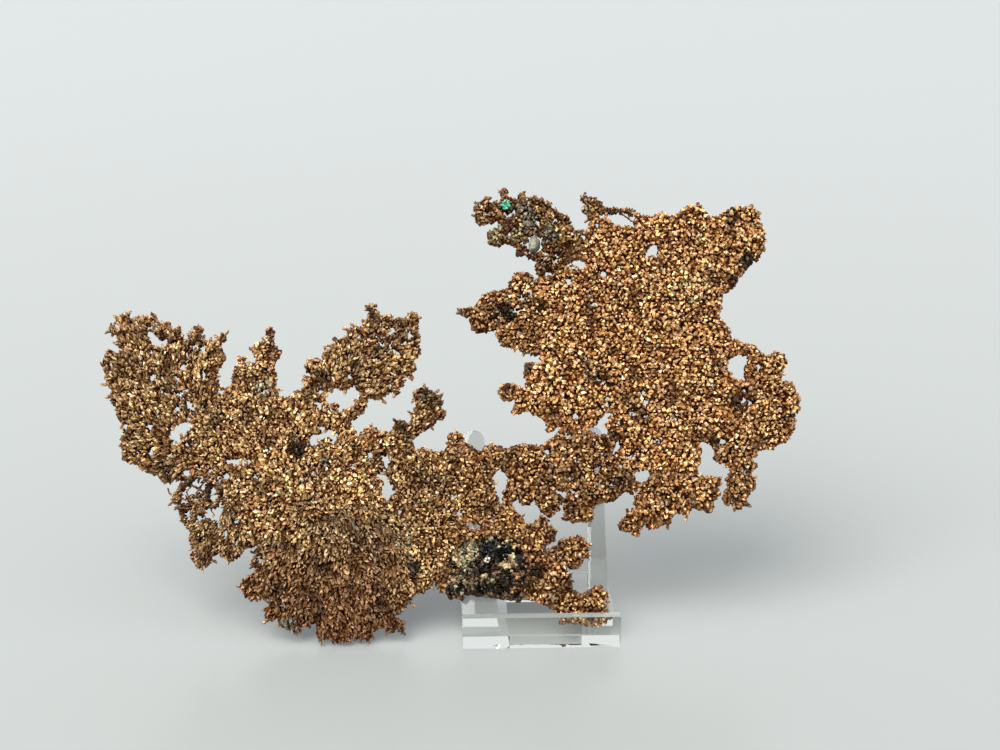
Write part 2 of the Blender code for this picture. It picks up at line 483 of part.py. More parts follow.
def combine(target, other, operation):
    modifier = target.modifiers.new(operation.lower(), "BOOLEAN")
    modifier.operation = operation
    modifier.solver = "EXACT"
    modifier.object = other
    bpy.context.view_layer.objects.active = target
    bpy.ops.object.modifier_apply(modifier=modifier.name)
    bpy.data.objects.remove(other, do_unlink=True)


def build_easel(material):
    """One clear piece: floor and lip, the notch cut out, and the two prongs."""
    easel = add_block("easel", EASEL_LEFT_MM, EASEL_RIGHT_MM, EASEL_FRONT_MM, EASEL_REAR_MM, 0.0,
                      EASEL_THICK_MM, material)
    notch = add_block("notch", NOTCH_LEFT_MM, NOTCH_RIGHT_MM, NOTCH_FRONT_MM, NOTCH_REAR_MM, -NOTCH_PAST_MM,
                      EASEL_THICK_MM + NOTCH_PAST_MM, material)
    combine(easel, notch, "DIFFERENCE")
    lip = add_block("lip", EASEL_LEFT_MM, EASEL_RIGHT_MM, EASEL_FRONT_MM, EASEL_FRONT_MM + EASEL_THICK_MM,
                    EASEL_THICK_MM * 0.5, LIP_HIGH_MM, material)
    combine(easel, lip, "UNION")
    left_outline = LEFT_PRONG_SIDES + round_top(*LEFT_PRONG_TOP)
    right_outline = RIGHT_PRONG_SIDES + round_top(*RIGHT_PRONG_TOP)
    combine(easel, add_prong("left_prong", left_outline, material), "UNION")
    combine(easel, add_prong("right_prong", right_outline, material), "UNION")
    return easel


def main():
    clear_scene()
    spots, faces = triangulate()
    for name, seed in BRANCHES.items():
        colour = METAL_ORANGE
        metal = 1.0
        if name in BROWN_BRANCHES:
            colour = METAL_BROWN
        if name in GOLD_BRANCHES:
            colour = METAL_GOLD
        if name == "matrix_lump":
            colour = (0.13, 0.10, 0.08, 1.0)
            metal = 0.0
        material = make_material(name, colour, 0.4 if metal else 0.9, metal)
        build_branch(name, spots, branch_faces(spots, faces, seed), material)
    build_stone(make_material("pale_stone", (0.55, 0.55, 0.52, 1.0), 0.7, 0.0))
    build_easel(make_material("easel", (0.95, 0.97, 0.97, 1.0), 0.03, 0.0, 1.0))


main()
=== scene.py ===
import math

import bmesh
import bpy
import numpy as np
from mathutils import Matrix, Vector, kdtree, noise
from mathutils.bvhtree import BVHTree


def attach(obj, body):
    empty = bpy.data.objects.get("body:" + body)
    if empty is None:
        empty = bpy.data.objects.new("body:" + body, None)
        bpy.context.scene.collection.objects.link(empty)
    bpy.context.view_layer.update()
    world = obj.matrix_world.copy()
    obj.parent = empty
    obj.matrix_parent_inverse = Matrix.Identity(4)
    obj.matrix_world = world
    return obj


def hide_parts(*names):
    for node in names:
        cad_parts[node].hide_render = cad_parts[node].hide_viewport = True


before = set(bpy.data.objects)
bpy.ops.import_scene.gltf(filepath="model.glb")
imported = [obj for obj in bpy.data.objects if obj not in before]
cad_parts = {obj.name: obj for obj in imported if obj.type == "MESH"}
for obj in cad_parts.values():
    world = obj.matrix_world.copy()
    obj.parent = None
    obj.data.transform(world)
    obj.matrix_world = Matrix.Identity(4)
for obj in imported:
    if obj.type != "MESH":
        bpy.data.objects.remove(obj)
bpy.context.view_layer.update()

bpy.ops.object.select_all(action="DESELECT")

# ------------------------
# The copper branches. One lacy sheet of native copper that grew as a crowd of small blunt crystals.
# Each branch is a core of dark grains, painted shade for the gaps, under a crust of grains that lean
# away from the branch's root, on its front, back and rim, with short sprigs of buds at the free edges.
# ------------------------
MM = 0.001
LEAN = math.radians(30.0)
SHEET_FRONT = 2.2
DEPTH_CENTRE = 36.2
FOOT_LINE = Vector((0.0, SHEET_FRONT - DEPTH_CENTRE, 0.0))
ACROSS = Vector((1.0, 0.0, 0.0))
UP_SHEET = Vector((0.0, math.sin(LEAN), math.cos(LEAN)))
FORWARD = Vector((0.0, -math.cos(LEAN), math.sin(LEAN)))

# A spot on the sheet is (u, v): millimetres across it and up it from the foot line.
# name: root (u, v) that the grains lean away from, grain length, grain width, pull of the growth
# direction, how open the lace is, from 0 for closed to 1 for full of pinholes, and how bright
BRANCHES = {
    "copper_left_wing": ((-78, 58), 2.2, 1.16, 0.9, 0.66, 0.96),
    "copper_upper_mass": ((-45, 42), 1.9, 1.18, 0.6, 0.30, 1.25),
    "copper_leaf": ((-38, 74), 2.2, 1.18, 0.8, 0.62, 0.96),
    "copper_side_branch": ((-18, 62), 2.1, 1.10, 0.7, 0.40, 0.84),
    "copper_lace_branch": ((-66, 46), 2.1, 0.85, 1.0, 1.0, 0.82),
    "copper_lower_fan": ((-38, 58), 2.1, 1.10, 0.85, 0.05, 0.80),
    "copper_centre": ((-4, 34), 1.9, 1.15, 0.5, 0.25, 1.10),
    "copper_neck": ((14, 48), 1.8, 1.28, 0.3, 0.30, 0.98),
    "copper_link": ((36, 52), 1.8, 1.28, 0.3, 0.50, 0.90),
    "copper_foot": ((22, 30), 1.8, 1.25, 0.4, 0.25, 0.94),
    "copper_right_fan": ((52, 74), 1.8, 1.36, 0.2, 0.15, 1.46),
    "copper_left_spurs": ((30, 100), 1.8, 1.28, 0.4, 0.55, 1.0),
    "copper_top_spur": ((36, 120), 1.8, 1.2, 0.4, 0.45, 0.72),
    "copper_bent_twig": ((48, 130), 1.5, 1.1, 0.5, 0.0, 0.75),
    "copper_right_lobe": ((84, 72), 1.8, 1.34, 0.3, 0.20, 1.14),
    "copper_tail": ((88, 58), 1.8, 1.34, 0.4, 0.10, 0.88),
    "copper_lower_tips": ((62, 52), 1.9, 1.34, 0.4, 0.25, 1.10),
}

# thin strands across openings and out of the edge: branch, the line in (u, v), thickness
STRANDS = [
    ("copper_bent_twig", [(53.6, 133.9), (55.4, 132.6), (56.9, 131.2)], 0.7),
    ("copper_bent_twig", [(43, 137.6), (41.6, 138.6), (40.4, 140.2)], 1.0),
    ("copper_right_fan", [(59.6, 119.9), (60.8, 121.9), (62.4, 123.8)], 0.9),
    ("copper_right_fan", [(35.8, 116.4), (37.6, 117.2), (39.4, 116.4)], 0.9),
    ("copper_lace_branch", [(-78.6, 45.9), (-77.6, 47.6), (-76.2, 49.4), (-74.4, 51.2)], 0.8),
    ("copper_lace_branch", [(-84.3, 44.6), (-86.6, 46.2), (-87.2, 48)], 0.7),
    ("copper_lace_branch", [(-82.0, 50.5), (-80.0, 48.6), (-77.2, 47.2), (-74.6, 44.2)], 0.9),
    ("copper_lace_branch", [(-83.0, 44.5), (-80.4, 43.6), (-78.2, 41.4), (-75.8, 41.0)], 0.9),
    ("copper_lace_branch", [(-76.6, 52.0), (-75.2, 48.8), (-75.6, 45.6), (-77.6, 42.0)], 0.8),
    ("copper_lace_branch", [(-72.4, 51.6), (-73.0, 48.0), (-71.2, 45.0)], 0.8),
    ("copper_lace_branch", [(-80.0, 48.6), (-81.4, 46.4), (-80.4, 43.6)], 0.7),
    ("copper_lace_branch", [(-80.6, 37.2), (-82.6, 38.8), (-83.6, 41)], 0.7),
    ("copper_left_wing", [(-82.8, 74.6), (-82.2, 76.4), (-80.8, 77.6)], 0.9),
    ("copper_upper_mass", [(-55.8, 94.9), (-56.6, 96.4), (-57, 98)], 0.9),
    ("copper_leaf", [(-25.2, 101), (-25.6, 103.2), (-25.9, 105.2)], 1.2),
    ("copper_top_spur", [(16.3, 139), (16.6, 141), (16, 142.8)], 1.0),
]

# where the sheet thins to a web of twigs: (u, v, radius, how much more open)
WEBS = [
    (-76.5, 45.5, 8.5, 1.10), (-81.0, 38.0, 5.0, 0.12), (-84.0, 72.5, 6.0, 0.15),
    (-70.0, 50.0, 4.0, 0.15), (-18.5, 93.5, 8.0, 0.24), (34.0, 62.0, 6.0, 0.12), (31.0, 117.5, 6.0, 0.15),
    (26.5, 106.0, 5.0, 0.12)]

# small holes right through the lace: (u, v, radius)
PINHOLES = [
    (-84.5, 72.0, 0.9), (-81.0, 73.2, 0.9), (-90.6, 69.9, 0.6), (-79.9, 91.2, 0.6), (-77.7, 91.2, 0.6),
    (-83.6, 86.9, 0.7), (-82.9, 75.0, 0.6), (-69.5, 51.3, 0.9), (-77.5, 47.8, 1.3), (-80.8, 38.3, 0.8),
    (-76.0, 40.5, 0.8), (-72.0, 38.0, 0.8), (-58.9, 25.3, 0.7), (-37.6, 71.8, 0.7), (-22.7, 98.4, 0.7),
    (-14.2, 95.5, 0.7), (-28.6, 94.3, 0.7), (-26.0, 57.7, 0.9), (-17.0, 39.5, 0.6), (-0.6, 44.0, 0.6),
    (1.3, 38.9, 0.8), (33.7, 61.1, 0.8), (28.5, 58.1, 0.8), (43.8, 52.0, 0.6), (53.8, 56.1, 0.7),
    (47.3, 72.5, 0.7), (47.3, 74.5, 0.7), (32.4, 118.5, 0.7), (36.4, 112.0, 0.9), (45.8, 130.5, 0.7),
    (43.3, 104.3, 0.8), (24.8, 107.5, 0.8), (21.6, 106.7, 0.9), (59.2, 73.4, 0.8), (55.5, 70.1, 0.8),
    (41.0, 87.5, 0.5), (45.0, 80.7, 0.5), (62.0, 61.0, 0.6), (88.0, 79.0, 0.9), (80.0, 79.2, 0.8),
    (92.2, 73.0, 0.6), (90.0, 77.0, 0.6), (82.8, 60.9, 0.8), (86.0, 54.0, 0.8)]

# layers of the crust: the side of the sheet it covers, its spacing in grain widths, the grains' size
FRONT = 1.0
BACK = -1.0
LAYERS = ((FRONT, 0.96, 1.0), (FRONT, 1.25, 0.6), (BACK, 0.98, 1.0))
CORE_STEP = 1.35
CORE_DEPTH = 1.7
CORE_WIDE = 1.6
CORE_TALL = 1.25
RIM_STEP = 1.25
ROW_SHARE = 0.87
PROBE = 30.0

# the rounded knobs that the grains crowd round
KNOB_STEP = 3.4
KNOB_ROWS = 52
KNOB_COLUMNS = 80
KNOB_CORNER = (-112, -4)
KNOB_REACH = 2.1
KNOB_HIGH = 1.45
KNOB_SUNK = 0.35

GOLD = np.array((0.93, 0.67, 0.33))
OLIVE = np.array((0.66, 0.52, 0.29))
ORANGE = np.array((0.96, 0.62, 0.28))
RED_BROWN = np.array((0.50, 0.21, 0.10))
DARK_BROWN = np.array((0.20, 0.060, 0.008))
GREY_GREEN = np.array((0.25, 0.27, 0.20))
ROSE = np.array((0.97, 0.74, 0.60))
BLACK = np.array((0.018, 0.016, 0.015))
# painted shade: the dark colour of the core grains, seen in the gaps of the crust
CREVICE_SHADE = np.array((0.15, 0.036, 0.004))

STONE_GREY = np.array((0.17, 0.21, 0.18))
PALE_OLIVE = np.array((0.44, 0.40, 0.20))

# tarnish and stains, and black patches of painted shade: (u, v, radius, colour, strength)
STAINS_AND_SHADE_PATCHES = [
    # painted shade: the black patch at (16.6, 102.3) stands for a deep shadowed hollow
    (16.6, 102.3, 2.8, BLACK, 1.0), (26.7, 103.8, 1.6, BLACK, 0.9), (-48.0, 58.7, 2.0, BLACK, 1.0),
    (-13.5, 22.5, 1.8, BLACK, 0.8), (24.6, 22.0, 2.0, BLACK, 0.85), (88.5, 133.2, 2.2, BLACK, 0.8),
    # painted shade: the black patches at (93.0, 117.6) and (88.6, 111.0) stand for the shade under the
    # lobe's edge, over a dark stain there
    (93.0, 117.6, 2.6, BLACK, 1.0), (88.6, 111.0, 2.2, BLACK, 1.0), (89.5, 76.5, 4.0, DARK_BROWN, 0.8),
    (-50.0, 6.0, 2.5, GREY_GREEN, 0.8), (-42.5, 53.4, 6.0, GREY_GREEN, 0.22),
    (-33.6, 38.3, 4.0, GREY_GREEN, 0.25), (-16.2, 31.7, 3.2, GREY_GREEN, 0.25),
    (-49.0, 46.0, 5.0, GREY_GREEN, 0.15), (74.0, 109.0, 5.5, PALE_OLIVE, 0.35),
    (29.5, 127.3, 3.2, STONE_GREY, 0.8), (14.0, 127.0, 2.8, PALE_OLIVE, 0.8),
    (21.5, 133.0, 4.2, STONE_GREY, 0.75), (20.5, 127.0, 2.2, PALE_OLIVE, 0.8),
    (25.0, 130.5, 2.6, GREY_GREEN, 0.7), (41.8, 136.6, 2.0, PALE_OLIVE, 0.7),
    (18.0, 130.5, 2.0, DARK_BROWN, 0.8), (-58.5, 78.0, 3.0, GREY_GREEN, 0.6),
    (-22.0, 30.0, 4.0, DARK_BROWN, 0.4), (8.0, 34.0, 3.0, DARK_BROWN, 0.5),
    (-4.0, 22.0, 2.6, DARK_BROWN, 0.5), (23.0, 25.5, 2.4, DARK_BROWN, 0.7)]

def sheet_point(u, v, forward):
    return (FOOT_LINE + ACROSS * u + UP_SHEET * v + FORWARD * forward) * MM

def sheet_place(point):
    """(u, v, forward) in millimetres of a point in metres."""
    off = point / MM - FOOT_LINE
    return off.dot(ACROSS), off.dot(UP_SHEET), off.dot(FORWARD)

def face_hit(tree, u, v, side=FRONT):
    """Where the plate's front or back face lies at that spot, or None beside the plate."""
    return tree.ray_cast(sheet_point(u, v, PROBE * side), -FORWARD * side)[0]

def scatter(random, spread):
    """A small random turn to add to a direction."""
    return Vector(random.normal(0.0, spread, 3))

def mixed(first, second, share):
    return first * (1.0 - share) + second * share

def within(value):
    return max(0.0, min(1.0, value))

def welded(node):
    """A copy of a frame node's mesh with its loose triangles joined."""
    shape = bmesh.new()
    shape.from_mesh(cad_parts[node].data)
    bmesh.ops.remove_doubles(shape, verts=shape.verts, dist=0.00002)
    shape.normal_update()
    return shape

def hull_of(corners):
    """Points and outward triangles of the tight skin round some corners."""
    hull = bmesh.new()
    for corner in corners:
        hull.verts.new(corner)
    made = bmesh.ops.convex_hull(hull, input=hull.verts[:])
    buried = [v for v in made["geom_interior"] if isinstance(v, bmesh.types.BMVert)]
    bmesh.ops.delete(hull, geom=buried, context="VERTS")
    bmesh.ops.triangulate(hull, faces=hull.faces[:])
    bmesh.ops.recalc_face_normals(hull, faces=hull.faces[:])
    hull.verts.index_update()
    points = np.array([v.co[:] for v in hull.verts])
    faces = np.array([[v.index for v in f.verts] for f in hull.faces])
    hull.free()
    return points, faces

def flat_area(shape):
    """The lowest and highest u, then the lowest and highest v, of a shape."""
    flat = [sheet_place(v.co) for v in shape.verts]
    across = [place[0] for place in flat]
    upward = [place[1] for place in flat]
    return min(across), max(across), min(upward), max(upward)

GOLDEN_TURN = 2.4
FULL_TURN = 6.28
GRAIN_CORNERS = (7, 7, 7, 8, 8, 8, 8, 9, 9) * 2
BUD_SIDES = (4, 4, 4, 4, 5, 4, 4, 5)
BUD_FORMS = len(BUD_SIDES)
BUD_RINGS = ((-0.45, 0.86), (0.35, 0.88), (0.92, 0.36))
# painted shade: a grain's faces darken from the tip down to its buried foot
FOOT_SHADE = 0.10
SHADE_RISE = 0.92
SHADE_RUN = 0.75
BUD_TIP_LEVEL = 0.60
BUD_TIP_DARK = 0.45

def face_shades(points, faces, foot, tip_dark, random):
    """How bright each face is: painted shade at the buried foot, full brightness above it, and a dark
    tarnish at a bud's tip.
    """
    height = points[faces].mean(axis=1)[:, 2]
    shade = FOOT_SHADE + SHADE_RISE * np.clip((height + foot) / SHADE_RUN, 0.0, 1.0)
    shade -= tip_dark * (height > BUD_TIP_LEVEL)
    return shade * random.uniform(0.92, 1.08, len(faces))

def grain_forms(random):
    """Angular crystal grains of ten to fourteen broad faces, hulls of a few scattered points."""
    forms = []
    for corner_count in GRAIN_CORNERS:
        turn = np.arange(corner_count) * GOLDEN_TURN + random.uniform(0.0, FULL_TURN)
        level = 1.0 - 2.0 * (np.arange(corner_count) + 0.5) / corner_count
        ring = np.sqrt(1.0 - level * level)
        corners = np.stack((ring * np.cos(turn), ring * np.sin(turn), level), axis=1)
        corners += random.normal(0.0, 0.20, corners.shape)
        corners /= np.linalg.norm(corners, axis=1, keepdims=True)
        corners *= random.uniform(0.92, 1.28, (corner_count, 1))
        corners[:, 0] *= random.uniform(0.60, 1.05)
        points, faces = hull_of(corners)
        forms.append((points, faces, face_shades(points, faces, 0.25, 0.0, random)))
    return forms

def bud_forms(random):
    """Leaf-like buds: an egg of four or five sides with a blunt tip."""
    forms = []
    for sides in BUD_SIDES:
        corners = [(0.0, 0.0, -1.0)]
        for level, reach in BUD_RINGS:
            half_step = 0.5 if 0.0 < level < 0.9 else 0.0
            for side in range(sides):
                turn = FULL_TURN * (side + random.uniform(-0.2, 0.2) + half_step) / sides
                out = reach * random.uniform(0.85, 1.15)
                high = level + random.uniform(-0.1, 0.1)
                corners.append((out * math.cos(turn), out * math.sin(turn), high))
        points, faces = hull_of(corners)
        forms.append((points, faces, face_shades(points, faces, 0.45, BUD_TIP_DARK, random)))
    return forms

def bumps(u, v, spread, seed):
    """Smooth noise between about -1 and 1, with rises about so many millimetres across."""
    return noise.noise(Vector((u / spread, v / spread, seed)))

# where gold ends and orange starts across the sheet, and how much of a second colour its patches hold
GOLD_TO = -10.0
ORANGE_FROM = 20.0
OLIVE_SHARE = 0.55
GOLD_SHARE = 0.30

# single grains: red-brown below the first share, dark above the second, rose above the third
RED_BELOW = 0.20
DARK_ABOVE = 0.76
ROSE_ABOVE = 0.90

# the brown lower fan: its top and right edge, the width of its fade upward and to the right
FAN_TOP = 34.0
FAN_RIGHT = -12.0
FAN_FADE_UP = 18.0
FAN_FADE_RIGHT = 10.0
FAN_BROWN = 0.62

RIM_TARNISH = 0.5
RIM_TARNISH_REACH = 2.2
DIP_SHADE = 0.72
CLEAN_METAL = 0.86
STAIN_REACH = 1.4
STAIN_FADE = 0.7
DUSK_DEPTH = 1.1
BRIGHTEST = 0.97

def stained_and_shaded(colour, u, v, random):
    """The grain's colour once the stains and painted shade patches there are on it, and how metallic it
    still is.
    """
    metal = CLEAN_METAL
    for patch_u, patch_v, radius, patch_tint, strength in STAINS_AND_SHADE_PATCHES:
        reach = math.hypot(u - patch_u, v - patch_v) / radius
        cover = strength * min(1.0, (STAIN_REACH - reach) / STAIN_FADE)
        if reach < STAIN_REACH and random.uniform() < cover:
            share = random.uniform(0.85, 1.0) if patch_tint is BLACK else random.uniform(0.6, 0.95)
            colour = mixed(colour, patch_tint, share)
            if patch_tint is not BLACK:
                metal *= 1.0 - share
    return colour, metal

def grain_colour(u, v, to_rim, low, tone, random):
    """The grain's colour: golden on the left, orange on the right, darker at tips, with painted shade in
    dips.
    """
    patch = 0.5 + 0.9 * bumps(u, v, 9.0, 3.0)
    left = mixed(GOLD, OLIVE, OLIVE_SHARE * patch)
    right = mixed(ORANGE, GOLD, GOLD_SHARE * patch)
    colour = mixed(left, right, within((u - GOLD_TO) / (ORANGE_FROM - GOLD_TO)))
    speck = random.uniform(0.0, 1.0)
    if speck < RED_BELOW:
        colour = mixed(colour, RED_BROWN, 0.55)
    elif speck > ROSE_ABOVE:
        colour = mixed(colour, ROSE, 0.6)
    elif speck > DARK_ABOVE:
        colour = mixed(colour, DARK_BROWN, 0.5)
    fan = FAN_BROWN * within((FAN_TOP - v) / FAN_FADE_UP) * within((FAN_RIGHT - u) / FAN_FADE_RIGHT)
    colour = mixed(colour, mixed(RED_BROWN, DARK_BROWN, 0.5), fan)
    colour = mixed(colour, RED_BROWN, RIM_TARNISH * max(0.0, 1.0 - to_rim / RIM_TARNISH_REACH))
    # painted shade: grains low in the relief are darkened towards dark brown
    colour = mixed(colour, DARK_BROWN, DIP_SHADE * low)
    colour, metal = stained_and_shaded(colour, u, v, random)
    dusk = 1.0 - DUSK_DEPTH * max(0.0, bumps(u, v, 6.5, 61.0) + 0.35 * bumps(u, v, 2.2, 67.0))
    colour = colour * tone * dusk * random.uniform(0.88, 1.12)
    return (*(colour * min(1.0, BRIGHTEST / colour.max())), metal)

FLAT_FACE = 0.55
UPRIGHT_EDGE = 0.3

def side_samples(shape, step):
    """Points spaced along the plate's side walls: (u, v, forward, outward direction)."""
    samples = []
    for face in shape.faces:
        if abs(face.normal.dot(FORWARD)) > FLAT_FACE:
            continue
        outward = (face.normal - FORWARD * face.normal.dot(FORWARD)).normalized()
        corners = [v.co for v in face.verts]
        flat = [Vector(sheet_place(c)) for c in corners]
        middle = sum(corners, Vector()) / 3.0
        length = max((flat[i].xy - flat[(i + 1) % 3].xy).length for i in range(3))
        count = max(1, round(length / step))
        for i in range(count):
            share = (i + 0.5) / count
            far = sorted(flat, key=lambda c: c.x)
            spot = far[0].lerp(far[2], share)
            if abs(far[2].x - far[0].x) < UPRIGHT_EDGE:
                far = sorted(flat, key=lambda c: c.y)
                spot = far[0].lerp(far[2], share)
            samples.append((spot.x, spot.y, sheet_place(middle)[2], outward))
    return samples

# the two strips of the back that rest on the easel's prongs, (from u, to u), and how high they reach
PRONG_STRIPS = ((-1.0, 15.0), (38.5, 48.0))
PRONG_HIGH = 68.5

def near_easel(u, v):
    return v < PRONG_HIGH and any(low < u < high for low, high in PRONG_STRIPS)

STEEP = 0.9
CELL_RIM = 0.08
CELL_GAP = 0.10

def axis_frames(axes, twist):
    """Rotation matrices whose third column is each axis."""
    helper = np.where(np.abs(axes[:, 2:3]) < STEEP, np.array([[0.0, 0.0, 1.0]]), np.array([[1.0, 0.0, 0.0]]))
    first = np.cross(helper, axes)
    first /= np.linalg.norm(first, axis=1, keepdims=True)
    second = np.cross(axes, first)
    cos = np.cos(twist)[:, None]
    sin = np.sin(twist)[:, None]
    return np.stack((first * cos + second * sin, second * cos - first * sin, axes), axis=2)

def small_face_cells(mesh):
    """Gives every triangle its own small cell of the bake layout."""
    total = len(mesh.polygons)
    side = math.ceil(math.sqrt(total / 2.0))
    cell = 1.0 / side
    index = np.arange(total)
    square = index // 2
    low_x = (square % side) * cell
    low_y = (square // side) * cell
    near = CELL_RIM * cell
    far = (1.0 - CELL_RIM) * cell
    gap = CELL_GAP * cell
    first = np.array([(near, near), (far - gap, near), (near, far - gap)])
    second = np.array([(far, far), (near + gap, far), (far, near + gap)])
    corners = np.where((index % 2 == 0)[:, None, None], first[None], second[None])
    corners[:, :, 0] += low_x[:, None]
    corners[:, :, 1] += low_y[:, None]
    layout = mesh.uv_layers.new(name="OFBake")
    layout.data.foreach_set("uv", corners.reshape(-1).astype(np.float32))

def triangle_piece(name, vertices, faces, colours, material):
    mesh = bpy.data.meshes.new(name)
    mesh.from_pydata(vertices.tolist(), [], faces.tolist())
    paint = mesh.attributes.new("grain_colour", "FLOAT_COLOR", "FACE")
    paint.data.foreach_set("color", colours.astype(np.float32).reshape(-1))
    small_face_cells(mesh)
    mesh.materials.append(material)
    piece = bpy.data.objects.new(name, mesh)
    bpy.context.scene.collection.objects.link(piece)
    return piece

def crusty_noise_group():
    """Fine and coarse grain for colour and bump, on the object's own coordinates."""
    group = bpy.data.node_groups.new("crystal_crust", "ShaderNodeTree")
    group.interface.new_socket("Scale", in_out="INPUT", socket_type="NodeSocketFloat")
    group.interface.new_socket("Fine", in_out="OUTPUT", socket_type="NodeSocketFloat")
    group.interface.new_socket("Coarse", in_out="OUTPUT", socket_type="NodeSocketFloat")
    nodes = group.nodes
    links = group.links
    entry = nodes.new("NodeGroupInput")
    out = nodes.new("NodeGroupOutput")
    place = nodes.new("ShaderNodeTexCoord")
    fine = nodes.new("ShaderNodeTexNoise")
    fine.inputs["Detail"].default_value = 4.0
    coarse = nodes.new("ShaderNodeTexNoise")
    coarse.inputs["Detail"].default_value = 2.0
    fifth = nodes.new("ShaderNodeMath")
    fifth.operation = "MULTIPLY"
    fifth.inputs[1].default_value = 0.2
    links.new(place.outputs["Object"], fine.inputs["Vector"])
    links.new(place.outputs["Object"], coarse.inputs["Vector"])
    links.new(entry.outputs["Scale"], fine.inputs["Scale"])
    links.new(entry.outputs["Scale"], fifth.inputs[0])
    links.new(fifth.outputs[0], coarse.inputs["Scale"])
    links.new(fine.outputs["Fac"], out.inputs["Fine"])
    links.new(coarse.outputs["Fac"], out.inputs["Coarse"])
    return group

crust_group = crusty_noise_group()

def add_node(material, kind, **settings):
    node = material.node_tree.nodes.new(kind)
    for key, value in settings.items():
        setattr(node, key, value)
    return node

def crust_node(material, scale):
    node = add_node(material, "ShaderNodeGroup")
    node.node_tree = crust_group
    node.inputs["Scale"].default_value = scale
    return node

def ramp(material, stops):
    node = add_node(material, "ShaderNodeValToRGB")
    node.color_ramp.elements[0].position = stops[0][0]
    node.color_ramp.elements[0].color = stops[0][1]
    node.color_ramp.elements[1].position = stops[-1][0]
    node.color_ramp.elements[1].color = stops[-1][1]
    for position, colour in stops[1:-1]:
        node.color_ramp.elements.new(position).color = colour
    return node

def grey(value):
    return (value, value, value, 1.0)

def new_material(name):
    """A fresh material, its links and its shader."""
    material = bpy.data.materials.new(name)
    material.use_nodes = True
    return material, material.node_tree.links, material.node_tree.nodes["Principled BSDF"]

def add_bump(material, height, shader, strength, distance):
    bump = add_node(material, "ShaderNodeBump")
    bump.inputs["Strength"].default_value = strength
    bump.inputs["Distance"].default_value = distance
    material.node_tree.links.new(height, bump.inputs["Height"])
    material.node_tree.links.new(bump.outputs["Normal"], shader.inputs["Normal"])

def painted_grains(material, crust, low, high, shader):
    """Gives the shader each grain's painted colour and shade, speckled from low to high; returns the
    colour's node.
    """
    links = material.node_tree.links
    paint = add_node(material, "ShaderNodeAttribute", attribute_name="grain_colour")
    shade = ramp(material, [low, high])
    tinted = add_node(material, "ShaderNodeMix", data_type="RGBA", blend_type="MULTIPLY")
    tinted.inputs["Factor"].default_value = 1.0
    links.new(crust.outputs["Fine"], shade.inputs["Fac"])
    links.new(paint.outputs["Color"], tinted.inputs["A"])
    links.new(shade.outputs["Color"], tinted.inputs["B"])
    links.new(tinted.outputs["Result"], shader.inputs["Base Color"])
    return paint

def native_copper():
    material, links, shader = new_material("native_copper")
    shader.inputs["Coat Weight"].default_value = 0.2
    shader.inputs["Coat Roughness"].default_value = 0.35
    crust = crust_node(material, 2300.0)
    paint = painted_grains(material, crust, (0.38, grey(0.42)), (0.58, grey(1.18)), shader)
    links.new(paint.outputs["Alpha"], shader.inputs["Metallic"])
    rough = ramp(material, [(0.35, grey(0.48)), (0.65, grey(0.70))])
    links.new(crust.outputs["Coarse"], rough.inputs["Fac"])
    links.new(rough.outputs["Color"], shader.inputs["Roughness"])
    add_bump(material, crust.outputs["Fine"], shader, 1.0, 0.0003)
    return material

# painted shade: faces that neighbouring grains shelter from the open air are darkened
SHELTER_DARK = 0.36
SHELTER_FROM = 0.05
SHELTER_RUN = 0.6
# how much redder painted shade and tip tarnish turn as they darken: a power for each colour channel
SHADE_AND_TARNISH_POWERS = np.array((0.75, 1.0, 1.5))

def sheltered(corners, opens):
    """Painted shade on each face: full bright where it looks to the open air, dark where neighbours shelter
    it.
    """
    across = np.cross(corners[:, :, 1] - corners[:, :, 0], corners[:, :, 2] - corners[:, :, 0])
    across /= np.maximum(np.linalg.norm(across, axis=2, keepdims=True), 1e-9)
    toward = np.einsum("nfk,nk->nf", across, opens)
    dim = SHELTER_DARK + (1.0 - SHELTER_DARK) * np.clip((toward - SHELTER_FROM) / SHELTER_RUN, 0.0, 1.0)
    return np.where(np.any(opens != 0.0, axis=1)[:, None], dim, 1.0)

